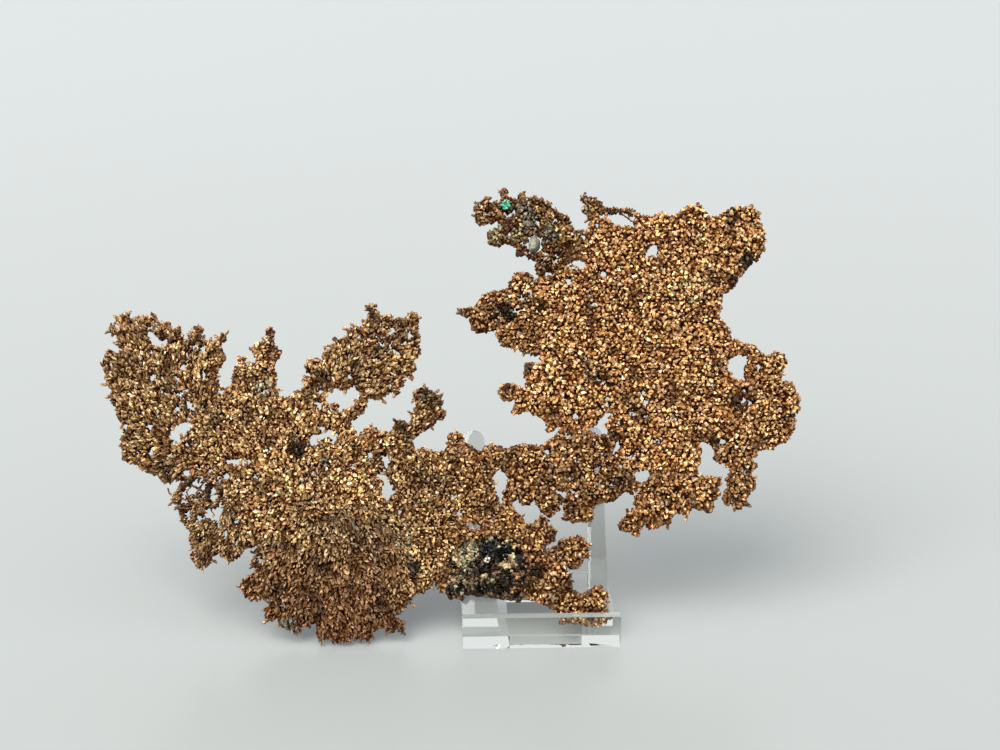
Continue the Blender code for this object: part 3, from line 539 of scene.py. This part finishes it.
class Crowd:
    """Grains gathered for one piece: where each is, which way it points, its size and its colour.

    Buds take the leaf-like shapes, and a grain that is open to a side is lit full on that side, with painted
    shade on its sheltered faces.
    """

    def __init__(self):
        self.places = []
        self.axes = []
        self.sizes = []
        self.paints = []
        self.buds = []
        self.opens = []

    def add(self, place, axis, size, paint, bud=False, open_to=None):
        self.places.append(place[:])
        self.axes.append(axis.normalized()[:])
        self.sizes.append(size)
        self.paints.append(paint)
        self.buds.append(bud)
        self.opens.append(open_to.normalized()[:] if open_to else (0.0, 0.0, 0.0))

    def arrays(self, forms, random):
        """All the grains as one set of points, triangles and face colours."""
        places = np.array(self.places)
        turns = axis_frames(np.array(self.axes), random.uniform(0.0, FULL_TURN, len(places)))
        sizes = np.array(self.sizes)
        paints = np.array(self.paints)
        opens = np.array(self.opens)
        blunt = len(forms) - BUD_FORMS
        choice = random.integers(0, blunt, len(places))
        choice = np.where(self.buds, blunt + choice % BUD_FORMS, choice)
        points = []
        triangles = []
        colours = []
        start = 0
        for index, (corners, faces, shade) in enumerate(forms):
            chosen = np.nonzero(choice == index)[0]
            bodies = corners[None] * sizes[chosen][:, None, :]
            bodies = np.einsum("nij,nkj->nki", turns[chosen], bodies) + places[chosen][:, None, :]
            bodies[:, :, 2] = np.maximum(bodies[:, :, 2], 0.0)
            dim = sheltered(bodies[:, faces], opens[chosen])
            points.append((bodies * MM).reshape(-1, 3))
            offsets = start + np.arange(len(chosen)) * len(corners)
            triangles.append((faces[None] + offsets[:, None, None]).reshape(-1, 3))
            colour = np.repeat(paints[chosen][:, None, :], len(faces), axis=1)
            # painted shade of the foot and of sheltered faces, with the bud tips' tarnish, turning redder as
            # it darkens
            colour[:, :, :3] *= (shade[None, :, None] * dim[:, :, None]) ** SHADE_AND_TARNISH_POWERS
            colours.append(colour.reshape(-1, 4))
            start += len(chosen) * len(corners)
        return np.concatenate(points), np.concatenate(triangles), np.concatenate(colours)

    def piece(self, name, material, random):
        return triangle_piece(name, *self.arrays(grain_shapes, random), material)

def knob_centres(random):
    """Centres of the rounded knobs that the grains crowd round, on a jittered grid."""
    tree = kdtree.KDTree(KNOB_ROWS * KNOB_COLUMNS)
    spots = []
    for row in range(KNOB_ROWS):
        for column in range(KNOB_COLUMNS):
            u = KNOB_CORNER[0] + (column + 0.5 * (row % 2) + random.uniform(-0.32, 0.32)) * KNOB_STEP
            v = KNOB_CORNER[1] + (row + random.uniform(-0.32, 0.32)) * KNOB_STEP * ROW_SHARE
            tree.insert((u, v, 0.0), len(spots))
            spots.append((u, v, random.uniform(0.35, 1.25)))
    tree.balance()
    return tree, spots

def knob_at(u, v):
    """Height of the knobs' surface there, and the direction out from the nearest knob's centre."""
    spot, index, away = knob_tree.find((u, v, 0.0))
    share = min(1.0, away / KNOB_REACH)
    height = KNOB_HIGH * knob_spots[index][2] * (1.0 - share * share) - KNOB_SUNK
    out = Vector((u - spot[0], v - spot[1])) / KNOB_REACH
    return height, out

SOLID_RIM = 0.9
FAR_OFF = 9.0
CLOSED_LEVEL = 0.60
OPEN_DROP = 0.36
GAP_SLOPE = 3.4
GAP_SPREAD = 2.6
RIM_BITE = 0.9

def lace_clearance(u, v, to_rim, open_share):
    """About how far the spot is from the nearest gap in the lace, in millimetres; less than 0 in a gap."""
    clear = FAR_OFF
    if to_rim > SOLID_RIM:
        level = CLOSED_LEVEL - OPEN_DROP * open_share + 0.010 * to_rim + 0.2 * max(0.0, 2.0 - to_rim)
        for web_u, web_v, reach, more in WEBS:
            level -= more * max(0.0, 1.0 - (math.hypot(u - web_u, v - web_v) / reach) ** 2)
        clear = GAP_SLOPE * (level - bumps(u, v, GAP_SPREAD, 21.0))
    for _spot, index, away in pin_tree.find_range((u, v, 0.0), 3.0):
        clear = min(clear, away - PINHOLES[index][2])
    return clear

def rim_bite(u, v):
    """How far the rim is bitten back there; negative where it grew out as a knob or a sprig."""
    return RIM_BITE * bumps(u, v, 1.9, 51.0)

def jittered_grid(low_u, high_u, low_v, high_v, step, random):
    for row in range(int((high_v - low_v) / (step * ROW_SHARE)) + 2):
        for column in range(int((high_u - low_u) / step) + 2):
            u = low_u + (column + 0.5 * (row % 2) + random.uniform(-0.33, 0.33)) * step
            v = low_v + (row + random.uniform(-0.33, 0.33)) * step * ROW_SHARE
            yield u, v

CORE_CLEAR = 0.2
CRUST_RIM = 0.25
CRUST_CLEAR = 0.1
THIN_EDGE = 0.9
DIP_BELOW = 0.75
FLAT_ON_EASEL = -0.45
CRUST_SUNK = 0.3
BUD_CHANCE = 0.3
BACK_SHIFT = 37.0
FREE_RIM = 0.4
DEEP_BITE = 0.3
RIM_SUNK = 1.2
RIM_JOINT = 0.62
SPRIG_CHANCE = 0.34
SPRIG_CHANCE_LESS = 0.06
STRAND_STEP = 0.55

class Branch:
    """One branch: its plate from the frame, how its copper grew, and the crowd of grains it is made of."""

    def __init__(self, node, root, length, width, pull, open_share, tone):
        shape = welded(node)
        self.node = node
        self.root = root
        self.length = length
        self.width = width
        self.pull = pull
        self.open_share = open_share
        self.tone = tone
        self.plate = BVHTree.FromBMesh(shape)
        self.samples = side_samples(shape, RIM_STEP)
        self.area = flat_area(shape)
        shape.free()
        self.rim = self.free_rim()
        self.crowd = Crowd()

    def free_rim(self):
        """The spots of the side walls that no neighbouring branch touches."""
        free = []
        for u, v, _forward, outward in self.samples:
            beside_u = u + outward.dot(ACROSS) * 0.6
            beside_v = v + outward.dot(UP_SHEET) * 0.6
            if face_hit(whole_tree, beside_u, beside_v) is None:
                free.append((u, v))
        tree = kdtree.KDTree(len(free))
        for index, (u, v) in enumerate(free):
            tree.insert((u, v, 0.0), index)
        tree.balance()
        return tree

    def rim_distance(self, u, v):
        return self.rim.find((u, v, 0.0))[2]

    def grow_core(self, random):
        """Dark grains in the middle of the plate: painted shade where the crust's gaps show the core."""
        for u, v in jittered_grid(*self.area, CORE_STEP, random):
            front = face_hit(self.plate, u, v)
            if front is None:
                continue
            to_rim = self.rim_distance(u, v) - rim_bite(u, v)
            clear = min(to_rim, lace_clearance(u, v, to_rim, self.open_share))
            if clear < CORE_CLEAR:
                continue
            middle = sheet_place(front)[2] - CORE_DEPTH
            wide = min(CORE_WIDE, 0.45 + clear * 0.8)
            axis = FORWARD + scatter(random, 0.35)
            dark = CREVICE_SHADE * random.uniform(0.5, 1.3)
            size = (wide, wide, min(CORE_TALL, wide))
            self.crowd.add(sheet_point(u, v, middle) / MM, axis, size, (*dark, 1.0))

    def grow_crust(self, side, share_of_width, small, random):
        """One layer of grains that crowd round the knobs and lean away from the root."""
        for u, v in jittered_grid(*self.area, share_of_width * self.width, random):
            hit = face_hit(self.plate, u, v, side)
            if hit is None:
                continue
            to_rim = self.rim_distance(u, v) - rim_bite(u, v)
            clear = lace_clearance(u, v, to_rim, self.open_share)
            if to_rim < CRUST_RIM or clear < CRUST_CLEAR:
                continue
            high, out = knob_at(u if side == FRONT else u + BACK_SHIFT, v)
            away = Vector((u - self.root[0], v - self.root[1]))
            ray = Vector((math.atan2(away.y, away.x) * 7.0, away.length / 4.5, 3.0))
            high += 0.5 * bumps(u, v, 1.6, 7.0) + 0.5 * self.pull * noise.noise(ray)
            high += random.uniform(-0.5, 0.2) if small < 1.0 else random.uniform(-0.3, 0.3)
            if side == BACK and near_easel(u, v):
                high = FLAT_ON_EASEL
            away = away.normalized() * self.pull
            lean = out * (1.1 - 0.4 * self.pull) + away
            upright = FORWARD * side * (1.0 - 0.55 * min(1.0, self.pull))
            axis = upright + ACROSS * lean.x + UP_SHEET * lean.y + scatter(random, 0.38)
            big = random.uniform(0.8, 1.5) * small
            if min(to_rim, clear) < THIN_EDGE:
                big *= 0.8
            wide = self.width * 0.47 * big
            size = (wide * random.uniform(0.75, 1.1), wide, self.length * 0.52 * big)
            paint = grain_colour(u, v, to_rim, within(DIP_BELOW - high), self.tone, random)
            bud = random.uniform() < BUD_CHANCE * self.pull
            place = hit / MM + FORWARD * side * (high - CRUST_SUNK)
            self.crowd.add(place, axis, size, paint, bud, FORWARD * side)

    def grow_rim(self, random):
        """Grains in pairs along the side walls, and sprigs where the free rim grew outward."""
        for u, v, forward, outward in self.samples:
            free = self.rim_distance(u, v) < FREE_RIM
            bite = rim_bite(u, v) if free else 0.0
            if bite > DEEP_BITE:
                continue
            level = forward + random.uniform(-0.9, 0.9)
            spot = sheet_point(u, v, level) / MM - outward * max(0.0, bite)
            step = (outward + scatter(random, 0.3)).normalized()
            plump = random.uniform(0.85, 1.25)
            size = (self.width * 0.46 * plump, self.width * 0.44 * plump, self.length * 0.48 * plump)
            # the sunken grain of each pair gets more painted shade than the outer one
            for joint, low in enumerate((0.8, 0.1)):
                axis = step + scatter(random, 0.45)
                paint = grain_colour(u, v, 0.0 if free else 3.0, low, self.tone, random)
                self.crowd.add(spot + step * (RIM_JOINT * joint - RIM_SUNK), axis, size, paint)
            chance = SPRIG_CHANCE * self.pull - SPRIG_CHANCE_LESS
            if free and bite < 0.0 and random.uniform() < chance:
                self.grow_sprig(spot - step * 0.3, step, (u, v), random)

    def grow_sprig(self, foot, step, place, random):
        """A short stalk with a pointed bud at its end and one or two more at its sides."""
        reach = random.uniform(0.6, 1.5)
        thin = self.width * random.uniform(0.32, 0.42)
        # the stalk's grains get some painted shade, the buds none
        for share in (0.25, 0.6, 0.95):
            paint = grain_colour(*place, 0.0, 0.35, self.tone, random)
            self.crowd.add(foot + step * reach * share, step, (thin, thin, 0.7), paint)
        for number in range(random.integers(2, 4)):
            end_bud = number == 0
            axis = (step + scatter(random, 0.15 if end_bud else 0.75)).normalized()
            big = random.uniform(0.8, 1.15) * (1.0 if end_bud else 0.8)
            along = reach * (1.0 if end_bud else random.uniform(0.35, 0.8))
            paint = grain_colour(*place, 1.0, 0.0, self.tone, random)
            size = (self.width * 0.50 * big, self.width * 0.47 * big, self.length * 0.37 * big)
            self.crowd.add(foot + step * along + axis * self.length * 0.22, axis, size, paint, True)

    def grow_strand(self, start, end, thick, random):
        """A thin straight run of grains."""
        (u_a, v_a), (u_b, v_b) = start, end
        count = max(2, int(math.hypot(u_b - u_a, v_b - v_a) / (thick * STRAND_STEP)))
        along = (ACROSS * (u_b - u_a) + UP_SHEET * (v_b - v_a)).normalized()
        for number in range(count):
            u = u_a + (u_b - u_a) * number / count
            v = v_a + (v_b - v_a) * number / count
            spot = sheet_point(u, v, random.normal(0.0, 0.12)) / MM
            axis = along + scatter(random, 0.35)
            size = (thick * 0.45, thick * 0.45 * random.uniform(0.8, 1.2), thick * 0.75)
            self.crowd.add(spot, axis, size, grain_colour(u, v, 0.5, 0.3, self.tone, random))

    def grow(self, material, random):
        """The whole branch as one piece."""
        self.grow_core(random)
        for side, share_of_width, small in LAYERS:
            self.grow_crust(side, share_of_width, small, random)
        self.grow_rim(random)
        for owner, line, thick in STRANDS:
            if owner == self.node:
                for start, end in zip(line, line[1:]):
                    self.grow_strand(start, end, thick, random)
        piece = self.crowd.piece("grown_" + self.node, material, random)
        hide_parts(self.node)
        return piece

whole_sheet = bmesh.new()
for node in list(BRANCHES) + ["matrix_lump"]:
    part = welded(node)
    spare = bpy.data.meshes.new("spare")
    part.to_mesh(spare)
    part.free()
    whole_sheet.from_mesh(spare)
    bpy.data.meshes.remove(spare)
whole_tree = BVHTree.FromBMesh(whole_sheet)
whole_sheet.free()

copper = native_copper()
seeded = np.random.default_rng(29)
grain_shapes = grain_forms(seeded) + bud_forms(seeded)
knob_tree, knob_spots = knob_centres(seeded)
pin_tree = kdtree.KDTree(len(PINHOLES))
for index, (u, v, _radius) in enumerate(PINHOLES):
    pin_tree.insert((u, v, 0.0), index)
pin_tree.balance()
for node, growth in BRANCHES.items():
    branch = Branch(node, *growth).grow(copper, seeded)
    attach(branch, "root")

# ------------------------
# The matrix lump. A piece of dark volcanic rock with pale grains that the copper still grips low on
# the sheet: rough, crumbly, with a glassy black patch on top.
# ------------------------
ROCK_LAYERS = ((FRONT, 0.82), (BACK, 1.3))
ROCK_RIM_STEP = 0.8
HEART_STEP = 1.7
HEART_FROM = -1.2
HEART_SUNK = 1.5
ROCK_ON_EASEL = -0.6
ROCK_GREY = np.array((0.36, 0.32, 0.22))
ROCK_TAN = np.array((0.58, 0.47, 0.29))
ROCK_DARK = np.array((0.035, 0.025, 0.016))
ROCK_BROWN = np.array((0.15, 0.085, 0.045))
ROCK_GLASS = np.array((0.010, 0.015, 0.014))
ROCK_WHITE = np.array((0.80, 0.78, 0.70))
ROCK_PALE = np.array((0.72, 0.60, 0.36))
ROCK_OLIVE = np.array((0.24, 0.22, 0.12))
COPPERY = np.array((0.40, 0.20, 0.08))

# where each kind of grain lies in the lump: (u, v, half width, half height, colours to pick from)
ROCK_PATCHES = [
    (10.9, 24.2, 2.4, 0.5, (ROCK_WHITE, ROCK_GLASS)), (11.2, 30.0, 2.6, 0.7, (ROCK_GREY, ROCK_GLASS)),
    (11.9, 27.6, 5.6, 3.1, (ROCK_GLASS,)), (6.6, 22.6, 1.6, 2.2, (ROCK_DARK, ROCK_GLASS)),
    (8.6, 20.4, 1.5, 1.4, (ROCK_PALE, ROCK_TAN)),
    (17.2, 23.7, 3.5, 3.1, (ROCK_TAN, ROCK_PALE, ROCK_BROWN)),
    (3.2, 26.2, 3.6, 5.0, (ROCK_GREY, ROCK_OLIVE, ROCK_TAN)),
    (13.6, 19.6, 3.6, 2.2, (ROCK_DARK, ROCK_BROWN)),
    (19.8, 16.8, 4.4, 4.0, (ROCK_BROWN, COPPERY, ROCK_DARK)),
    (2.6, 17.5, 3.4, 3.2, (ROCK_GREY, ROCK_BROWN, ROCK_OLIVE)),
    (9.6, 16.4, 3.4, 2.6, (ROCK_OLIVE, ROCK_BROWN, ROCK_DARK))]

def rock_colour(u, v, random):
    """A grain's colour, from the patch it lies in; dark between the patches."""
    drift_u = u + 1.8 * bumps(u, v, 2.4, 31.0)
    drift_v = v + 1.8 * bumps(u, v, 2.4, 37.0)
    for middle_u, middle_v, half_u, half_v, colours in ROCK_PATCHES:
        if math.hypot((drift_u - middle_u) / half_u, (drift_v - middle_v) / half_v) < 1.0:
            share = 0.5 + 0.9 * bumps(u, v, 1.5, 47.0) + random.uniform(-0.25, 0.25)
            return colours[int(min(0.99, max(0.0, share)) * len(colours))]
    return (ROCK_DARK, ROCK_BROWN)[random.integers(0, 2)]

def crumbly_rock(node, name, material, random):
    """The lump as a crowd of broken grains over a dark heart."""
    shape = welded(node)
    lump = BVHTree.FromBMesh(shape)
    samples = side_samples(shape, ROCK_RIM_STEP)
    area = flat_area(shape)
    shape.free()
    crowd = Crowd()
    for u, v in jittered_grid(*area, HEART_STEP, random):
        front = face_hit(lump, u, v)
        if front is None:
            continue
        top = sheet_place(front)[2] - HEART_SUNK
        for level in np.arange(HEART_FROM, max(-1.0, top), 1.3):
            axis = scatter(random, 1.0)
            crowd.add(sheet_point(u, v, level) / MM, axis, (1.25, 1.25, 1.3), (*(ROCK_DARK * 0.5), 0.0))
    for side, step in ROCK_LAYERS:
        for u, v in jittered_grid(*area, step, random):
            hit = face_hit(lump, u, v, side)
            if hit is None:
                continue
            high = 3.4 * bumps(u, v, 2.9, 41.0) + 1.0 * bumps(u, v, 1.3, 43.0) - 0.8
            # painted shade: grains low in the rock's relief are darker, high ones lighter
            shade = min(1.0, max(0.15, 1.05 + 0.5 * high))
            if side == BACK and near_easel(u, v):
                high = ROCK_ON_EASEL
            axis = FORWARD * side + scatter(random, 0.7)
            big = random.uniform(0.5, 0.8) if random.uniform() < 0.85 else random.uniform(0.9, 1.2)
            size = (0.70 * big + 0.05, 0.75 * big, 0.9 * big + 0.1)
            tone = rock_colour(u, v, random) * random.uniform(0.75, 1.1) * shade
            crowd.add(hit / MM + FORWARD * side * high, axis, size, (*tone, 0.0))
    for u, v, forward, outward in samples:
        spot = sheet_point(u, v, forward + random.uniform(-1.0, 1.0)) / MM
        spot += outward * random.uniform(-0.5, 0.25)
        tone = rock_colour(u, v, random) * random.uniform(0.6, 1.0)
        crowd.add(spot, outward + scatter(random, 0.5), (0.65, 0.6, 0.75), (*tone, 0.0))
    piece = crowd.piece(name, material, random)
    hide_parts(node)
    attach(piece, "root")
    return lump

def grain_rock():
    material, links, shader = new_material("matrix_rock")
    shader.inputs["Specular IOR Level"].default_value = 0.25
    crust = crust_node(material, 1500.0)
    paint = painted_grains(material, crust, (0.32, grey(0.62)), (0.62, grey(1.25)), shader)
    gloss = ramp(material, [(0.02, grey(0.16)), (0.10, grey(0.62))])
    links.new(paint.outputs["Color"], gloss.inputs["Fac"])
    links.new(gloss.outputs["Color"], shader.inputs["Roughness"])
    add_bump(material, crust.outputs["Fine"], shader, 0.7, 0.0003)
    return material

rock_paint = grain_rock()
lump_tree = crumbly_rock("matrix_lump", "matrix_rock_lump", rock_paint, seeded)

# where the copper has grown over the lump's edge: (u, v, half width, half height, share covered)
OVERGROWN = [
    (17.5, 29.5, 4.5, 2.2, 0.8), (22.6, 24.0, 2.4, 5.0, 0.8), (22.0, 15.5, 3.0, 2.4, 0.6),
    (5.0, 31.0, 4.0, 1.6, 0.7), (-1.6, 20.0, 2.0, 5.0, 0.6), (-0.5, 28.0, 1.8, 3.0, 0.6),
    (19.0, 20.4, 2.6, 1.0, 0.5), (13.0, 15.4, 2.2, 1.4, 0.4)]

OVERGROWN_STEP = 1.15

overgrowth = Crowd()
for middle_u, middle_v, half_u, half_v, cover in OVERGROWN:
    area = (middle_u - half_u, middle_u + half_u, middle_v - half_v, middle_v + half_v)
    for u, v in jittered_grid(*area, OVERGROWN_STEP, seeded):
        inward = 1.0 - math.hypot((u - middle_u) / half_u, (v - middle_v) / half_v)
        hit = face_hit(lump_tree, u, v)
        if inward < 0.0 or hit is None or seeded.uniform() > cover * (0.4 + inward):
            continue
        high = 2.6 * bumps(u, v, 2.7, 41.0) + seeded.uniform(-0.6, 0.3)
        axis = FORWARD + scatter(seeded, 0.6)
        big = seeded.uniform(0.55, 0.95)
        # the lower the grain, the more painted shade it gets
        tone = grain_colour(u + 20.0, v, 3.0, max(0.0, 0.3 - 0.5 * high), 0.85, seeded)
        overgrowth.add(hit / MM + FORWARD * high, axis, (0.8 * big, 0.85 * big, 1.1 * big), tone)
over_lump = overgrowth.piece("copper_over_lump", copper, seeded)
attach(over_lump, "root")

# ------------------------
# The malachite. A thin green crust that the copper grew in two spots on the top spur, as clumps of
# tiny round beads set on the grains.
# ------------------------
MALACHITE = np.array((0.03, 0.36, 0.22))
MALACHITE_PALE = np.array((0.16, 0.50, 0.38))
BEAD_HEIGHT = 2.3
CRUST_SPOTS = [(16.7, 136.2, 1.4, 34), (24.4, 136.8, 0.6, 4)]

beads = Crowd()
for middle_u, middle_v, radius, count in CRUST_SPOTS:
    for _ in range(count):
        turn = seeded.uniform(0.0, FULL_TURN)
        off = radius * math.sqrt(seeded.uniform())
        u = middle_u + off * math.cos(turn)
        v = middle_v + off * math.sin(turn)
        tone = mixed(MALACHITE_PALE, MALACHITE, seeded.uniform())
        bead = seeded.uniform(0.28, 0.5)
        spot = sheet_point(u, v, BEAD_HEIGHT + seeded.uniform(-0.3, 0.4)) / MM
        beads.add(spot, FORWARD, (bead, bead, bead), (*tone, 0.0))
malachite = beads.piece("malachite_crust", rock_paint, seeded)
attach(malachite, "root")

# ------------------------
# The pale stone. A grey-white bit of quartz that grew into the top spur and sits in a socket there.
# ------------------------
def rough_rock(node, name, cuts, rough, seed):
    """A frame node's lump, cut finer and broken up, closed as before."""
    shape = welded(node)
    bmesh.ops.subdivide_edges(shape, edges=shape.edges[:], cuts=cuts, use_grid_fill=True)
    bmesh.ops.triangulate(shape, faces=shape.faces[:])
    shape.normal_update()
    pushes = []
    for vertex in shape.verts:
        spot = vertex.co / MM
        push = noise.ridged_multi_fractal(spot * 0.33 + Vector((seed, 0, 0)), 0.9, 2.1, 5, 0.7, 1.5) - 1.0
        pushes.append(vertex.normal * (push * rough + 0.15) * MM)
    for vertex, push in zip(shape.verts, pushes):
        vertex.co += push
    mesh = bpy.data.meshes.new(name)
    shape.to_mesh(mesh)
    shape.free()
    piece = bpy.data.objects.new(name, mesh)
    bpy.context.scene.collection.objects.link(piece)
    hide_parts(node)
    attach(piece, "root")
    return piece

QUARTZ_STOPS = [
    (0.3, (0.07, 0.07, 0.045, 1)), (0.5, (0.16, 0.155, 0.11, 1)), (0.7, (0.29, 0.28, 0.21, 1))]
QUARTZ_SPECK = (0.10, 0.10, 0.07, 1)
QUARTZ_SCALE = 1200.0
SPECK_LEVEL = 0.15

def pale_quartz():
    material, links, shader = new_material("pale_quartz")
    shader.inputs["Roughness"].default_value = 0.65
    crust = crust_node(material, QUARTZ_SCALE)
    tone = ramp(material, QUARTZ_STOPS)
    links.new(crust.outputs["Coarse"], tone.inputs["Fac"])
    place = add_node(material, "ShaderNodeTexCoord")
    cells = add_node(material, "ShaderNodeTexVoronoi")
    cells.inputs["Scale"].default_value = QUARTZ_SCALE * 0.9
    links.new(place.outputs["Object"], cells.inputs["Vector"])
    specks = ramp(material, [(SPECK_LEVEL - 0.04, grey(1.0)), (SPECK_LEVEL + 0.04, grey(0.0))])
    links.new(cells.outputs["Color"], specks.inputs["Fac"])
    mix = add_node(material, "ShaderNodeMix", data_type="RGBA")
    links.new(specks.outputs["Color"], mix.inputs["Factor"])
    links.new(tone.outputs["Color"], mix.inputs["A"])
    mix.inputs["B"].default_value = QUARTZ_SPECK
    links.new(mix.outputs["Result"], shader.inputs["Base Color"])
    add_bump(material, crust.outputs["Fine"], shader, 0.8, 0.0004)
    return material

quartz = rough_rock("pale_stone", "pale_stone_in_spur", 5, 0.75, 9.0)
quartz.data.materials.append(pale_quartz())

# ------------------------
# The easel. One clear acrylic piece: a floor with a notch, a front lip and two leaning prongs, with
# sawn edges that were polished bright.
# ------------------------
EDGE_ROUND = 0.35
DEEP_IN_ACRYLIC = 3.5

shape = welded("easel")
bmesh.ops.dissolve_limit(shape, angle_limit=math.radians(2.0), verts=shape.verts[:], edges=shape.edges[:])
easel_mesh = bpy.data.meshes.new("clear_easel")
shape.to_mesh(easel_mesh)
shape.free()
easel = bpy.data.objects.new("clear_easel", easel_mesh)
bpy.context.scene.collection.objects.link(easel)
bpy.context.view_layer.objects.active = easel
edge = easel.modifiers.new("polished_edge", "BEVEL")
edge.width = EDGE_ROUND * MM
edge.segments = 3
edge.limit_method = "ANGLE"
edge.angle_limit = math.radians(35.0)
bpy.ops.object.modifier_apply(modifier=edge.name)
easel.select_set(True)
bpy.ops.object.shade_smooth_by_angle(angle=math.radians(30.0))
easel.select_set(False)
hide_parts("easel")
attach(easel, "root")

acrylic, acrylic_links, glass = new_material("clear_acrylic")
glass.inputs["Base Color"].default_value = (0.985, 0.995, 0.99, 1.0)
glass.inputs["Roughness"].default_value = 0.02
glass.inputs["IOR"].default_value = 1.49
glass.inputs["Transmission Weight"].default_value = 1.0
# shadow rays, diffuse rays and rays already deep in the acrylic pass straight through
paths = add_node(acrylic, "ShaderNodeLightPath")
soft_ray = add_node(acrylic, "ShaderNodeMath", operation="MAXIMUM")
deep_ray = add_node(acrylic, "ShaderNodeMath", operation="GREATER_THAN")
deep_ray.inputs[1].default_value = DEEP_IN_ACRYLIC
plain_ray = add_node(acrylic, "ShaderNodeMath", operation="MAXIMUM")
clear = add_node(acrylic, "ShaderNodeBsdfTransparent")
clear.inputs["Color"].default_value = (0.975, 0.985, 0.98, 1.0)
blend = add_node(acrylic, "ShaderNodeMixShader")
acrylic_links.new(paths.outputs["Is Shadow Ray"], soft_ray.inputs[0])
acrylic_links.new(paths.outputs["Is Diffuse Ray"], soft_ray.inputs[1])
acrylic_links.new(paths.outputs["Ray Depth"], deep_ray.inputs[0])
acrylic_links.new(soft_ray.outputs[0], plain_ray.inputs[0])
acrylic_links.new(deep_ray.outputs[0], plain_ray.inputs[1])
acrylic_links.new(plain_ray.outputs[0], blend.inputs["Fac"])
acrylic_links.new(glass.outputs["BSDF"], blend.inputs[1])
acrylic_links.new(clear.outputs["BSDF"], blend.inputs[2])
acrylic_links.new(blend.outputs["Shader"], acrylic.node_tree.nodes["Material Output"].inputs["Surface"])
easel.data.materials.append(acrylic)

# ------------------------
# The studio: a plain pale glossy floor, soft light from the upper left, and the camera.
# ------------------------
bpy.ops.mesh.primitive_circle_add(vertices=96, radius=3.0, fill_type="NGON", location=(0, 0, 0))
floor = bpy.context.object
floor.data.transform(Matrix.Translation((0, 0, -0.0003)))
floor.name = "studio_floor"
floor_paint, _floor_links, floor_shader = new_material("studio_floor")
floor_shader.inputs["Base Color"].default_value = (0.262, 0.274, 0.267, 1.0)
floor_shader.inputs["Roughness"].default_value = 0.30
floor_shader.inputs["Specular IOR Level"].default_value = 0.18
floor.data.materials.append(floor_paint)
floor.select_set(False)

world = bpy.data.worlds.new("soft_studio")
world.use_nodes = True
sky = world.node_tree.nodes["Background"]
sky.inputs["Color"].default_value = (0.93, 0.97, 1.0, 1.0)
sky.inputs["Strength"].default_value = 1.42
# the camera and the acrylic see a dimmer backdrop than the sky that lights the object
backdrop = add_node(world, "ShaderNodeBackground")
backdrop.inputs["Color"].default_value = (0.96, 0.99, 0.98, 1.0)
backdrop.inputs["Strength"].default_value = 0.82
world_paths = add_node(world, "ShaderNodeLightPath")
seen = add_node(world, "ShaderNodeMath", operation="MAXIMUM")
deep = add_node(world, "ShaderNodeMath", operation="GREATER_THAN")
deep.inputs[1].default_value = 2.5
shows_backdrop = add_node(world, "ShaderNodeMath", operation="MAXIMUM")
world_mix = add_node(world, "ShaderNodeMixShader")
world_links = world.node_tree.links
world_links.new(world_paths.outputs["Is Camera Ray"], seen.inputs[0])
world_links.new(world_paths.outputs["Is Transmission Ray"], seen.inputs[1])
world_links.new(world_paths.outputs["Ray Depth"], deep.inputs[0])
world_links.new(seen.outputs[0], shows_backdrop.inputs[0])
world_links.new(deep.outputs[0], shows_backdrop.inputs[1])
world_links.new(shows_backdrop.outputs[0], world_mix.inputs["Fac"])
world_links.new(sky.outputs["Background"], world_mix.inputs[1])
world_links.new(backdrop.outputs["Background"], world_mix.inputs[2])
world_links.new(world_mix.outputs["Shader"], world.node_tree.nodes["World Output"].inputs["Surface"])
bpy.context.scene.world = world
bpy.context.scene.view_settings.view_transform = "Standard"

def soft_light(name, place, aim, size, power, colour):
    lamp = bpy.data.lights.new(name, "AREA")
    lamp.shape = "RECTANGLE"
    lamp.size = size[0]
    lamp.size_y = size[1]
    lamp.energy = power
    lamp.color = colour
    holder = bpy.data.objects.new(name, lamp)
    holder.location = place
    holder.visible_transmission = False
    holder.rotation_euler = (Vector(aim) - Vector(place)).to_track_quat("-Z", "Y").to_euler()
    bpy.context.scene.collection.objects.link(holder)

soft_light("window", (-2.4, -2.6, 4.8), (0, 0, 0.07), (5.4, 5.4), 620.0, (1.0, 0.97, 0.93))

LENS_MM = 65.0
CAMERA_PLACE = (-0.0130, -0.5215, 0.2514)
CAMERA_YAW = -2.95
CAMERA_PITCH = 71.2
CAMERA_ROLL = 0.68
camera_data = bpy.data.cameras.new("camera")
camera_data.lens = LENS_MM
camera_data.sensor_width = 36.0
camera_data.clip_start = 0.01
camera = bpy.data.objects.new("camera", camera_data)
camera.location = CAMERA_PLACE
camera.rotation_euler = (Matrix.Rotation(math.radians(CAMERA_YAW), 3, "Z")
                         @ Matrix.Rotation(math.radians(CAMERA_PITCH), 3, "X")
                         @ Matrix.Rotation(math.radians(CAMERA_ROLL), 3, "Z")).to_euler()
bpy.context.scene.collection.objects.link(camera)
bpy.context.scene.camera = camera
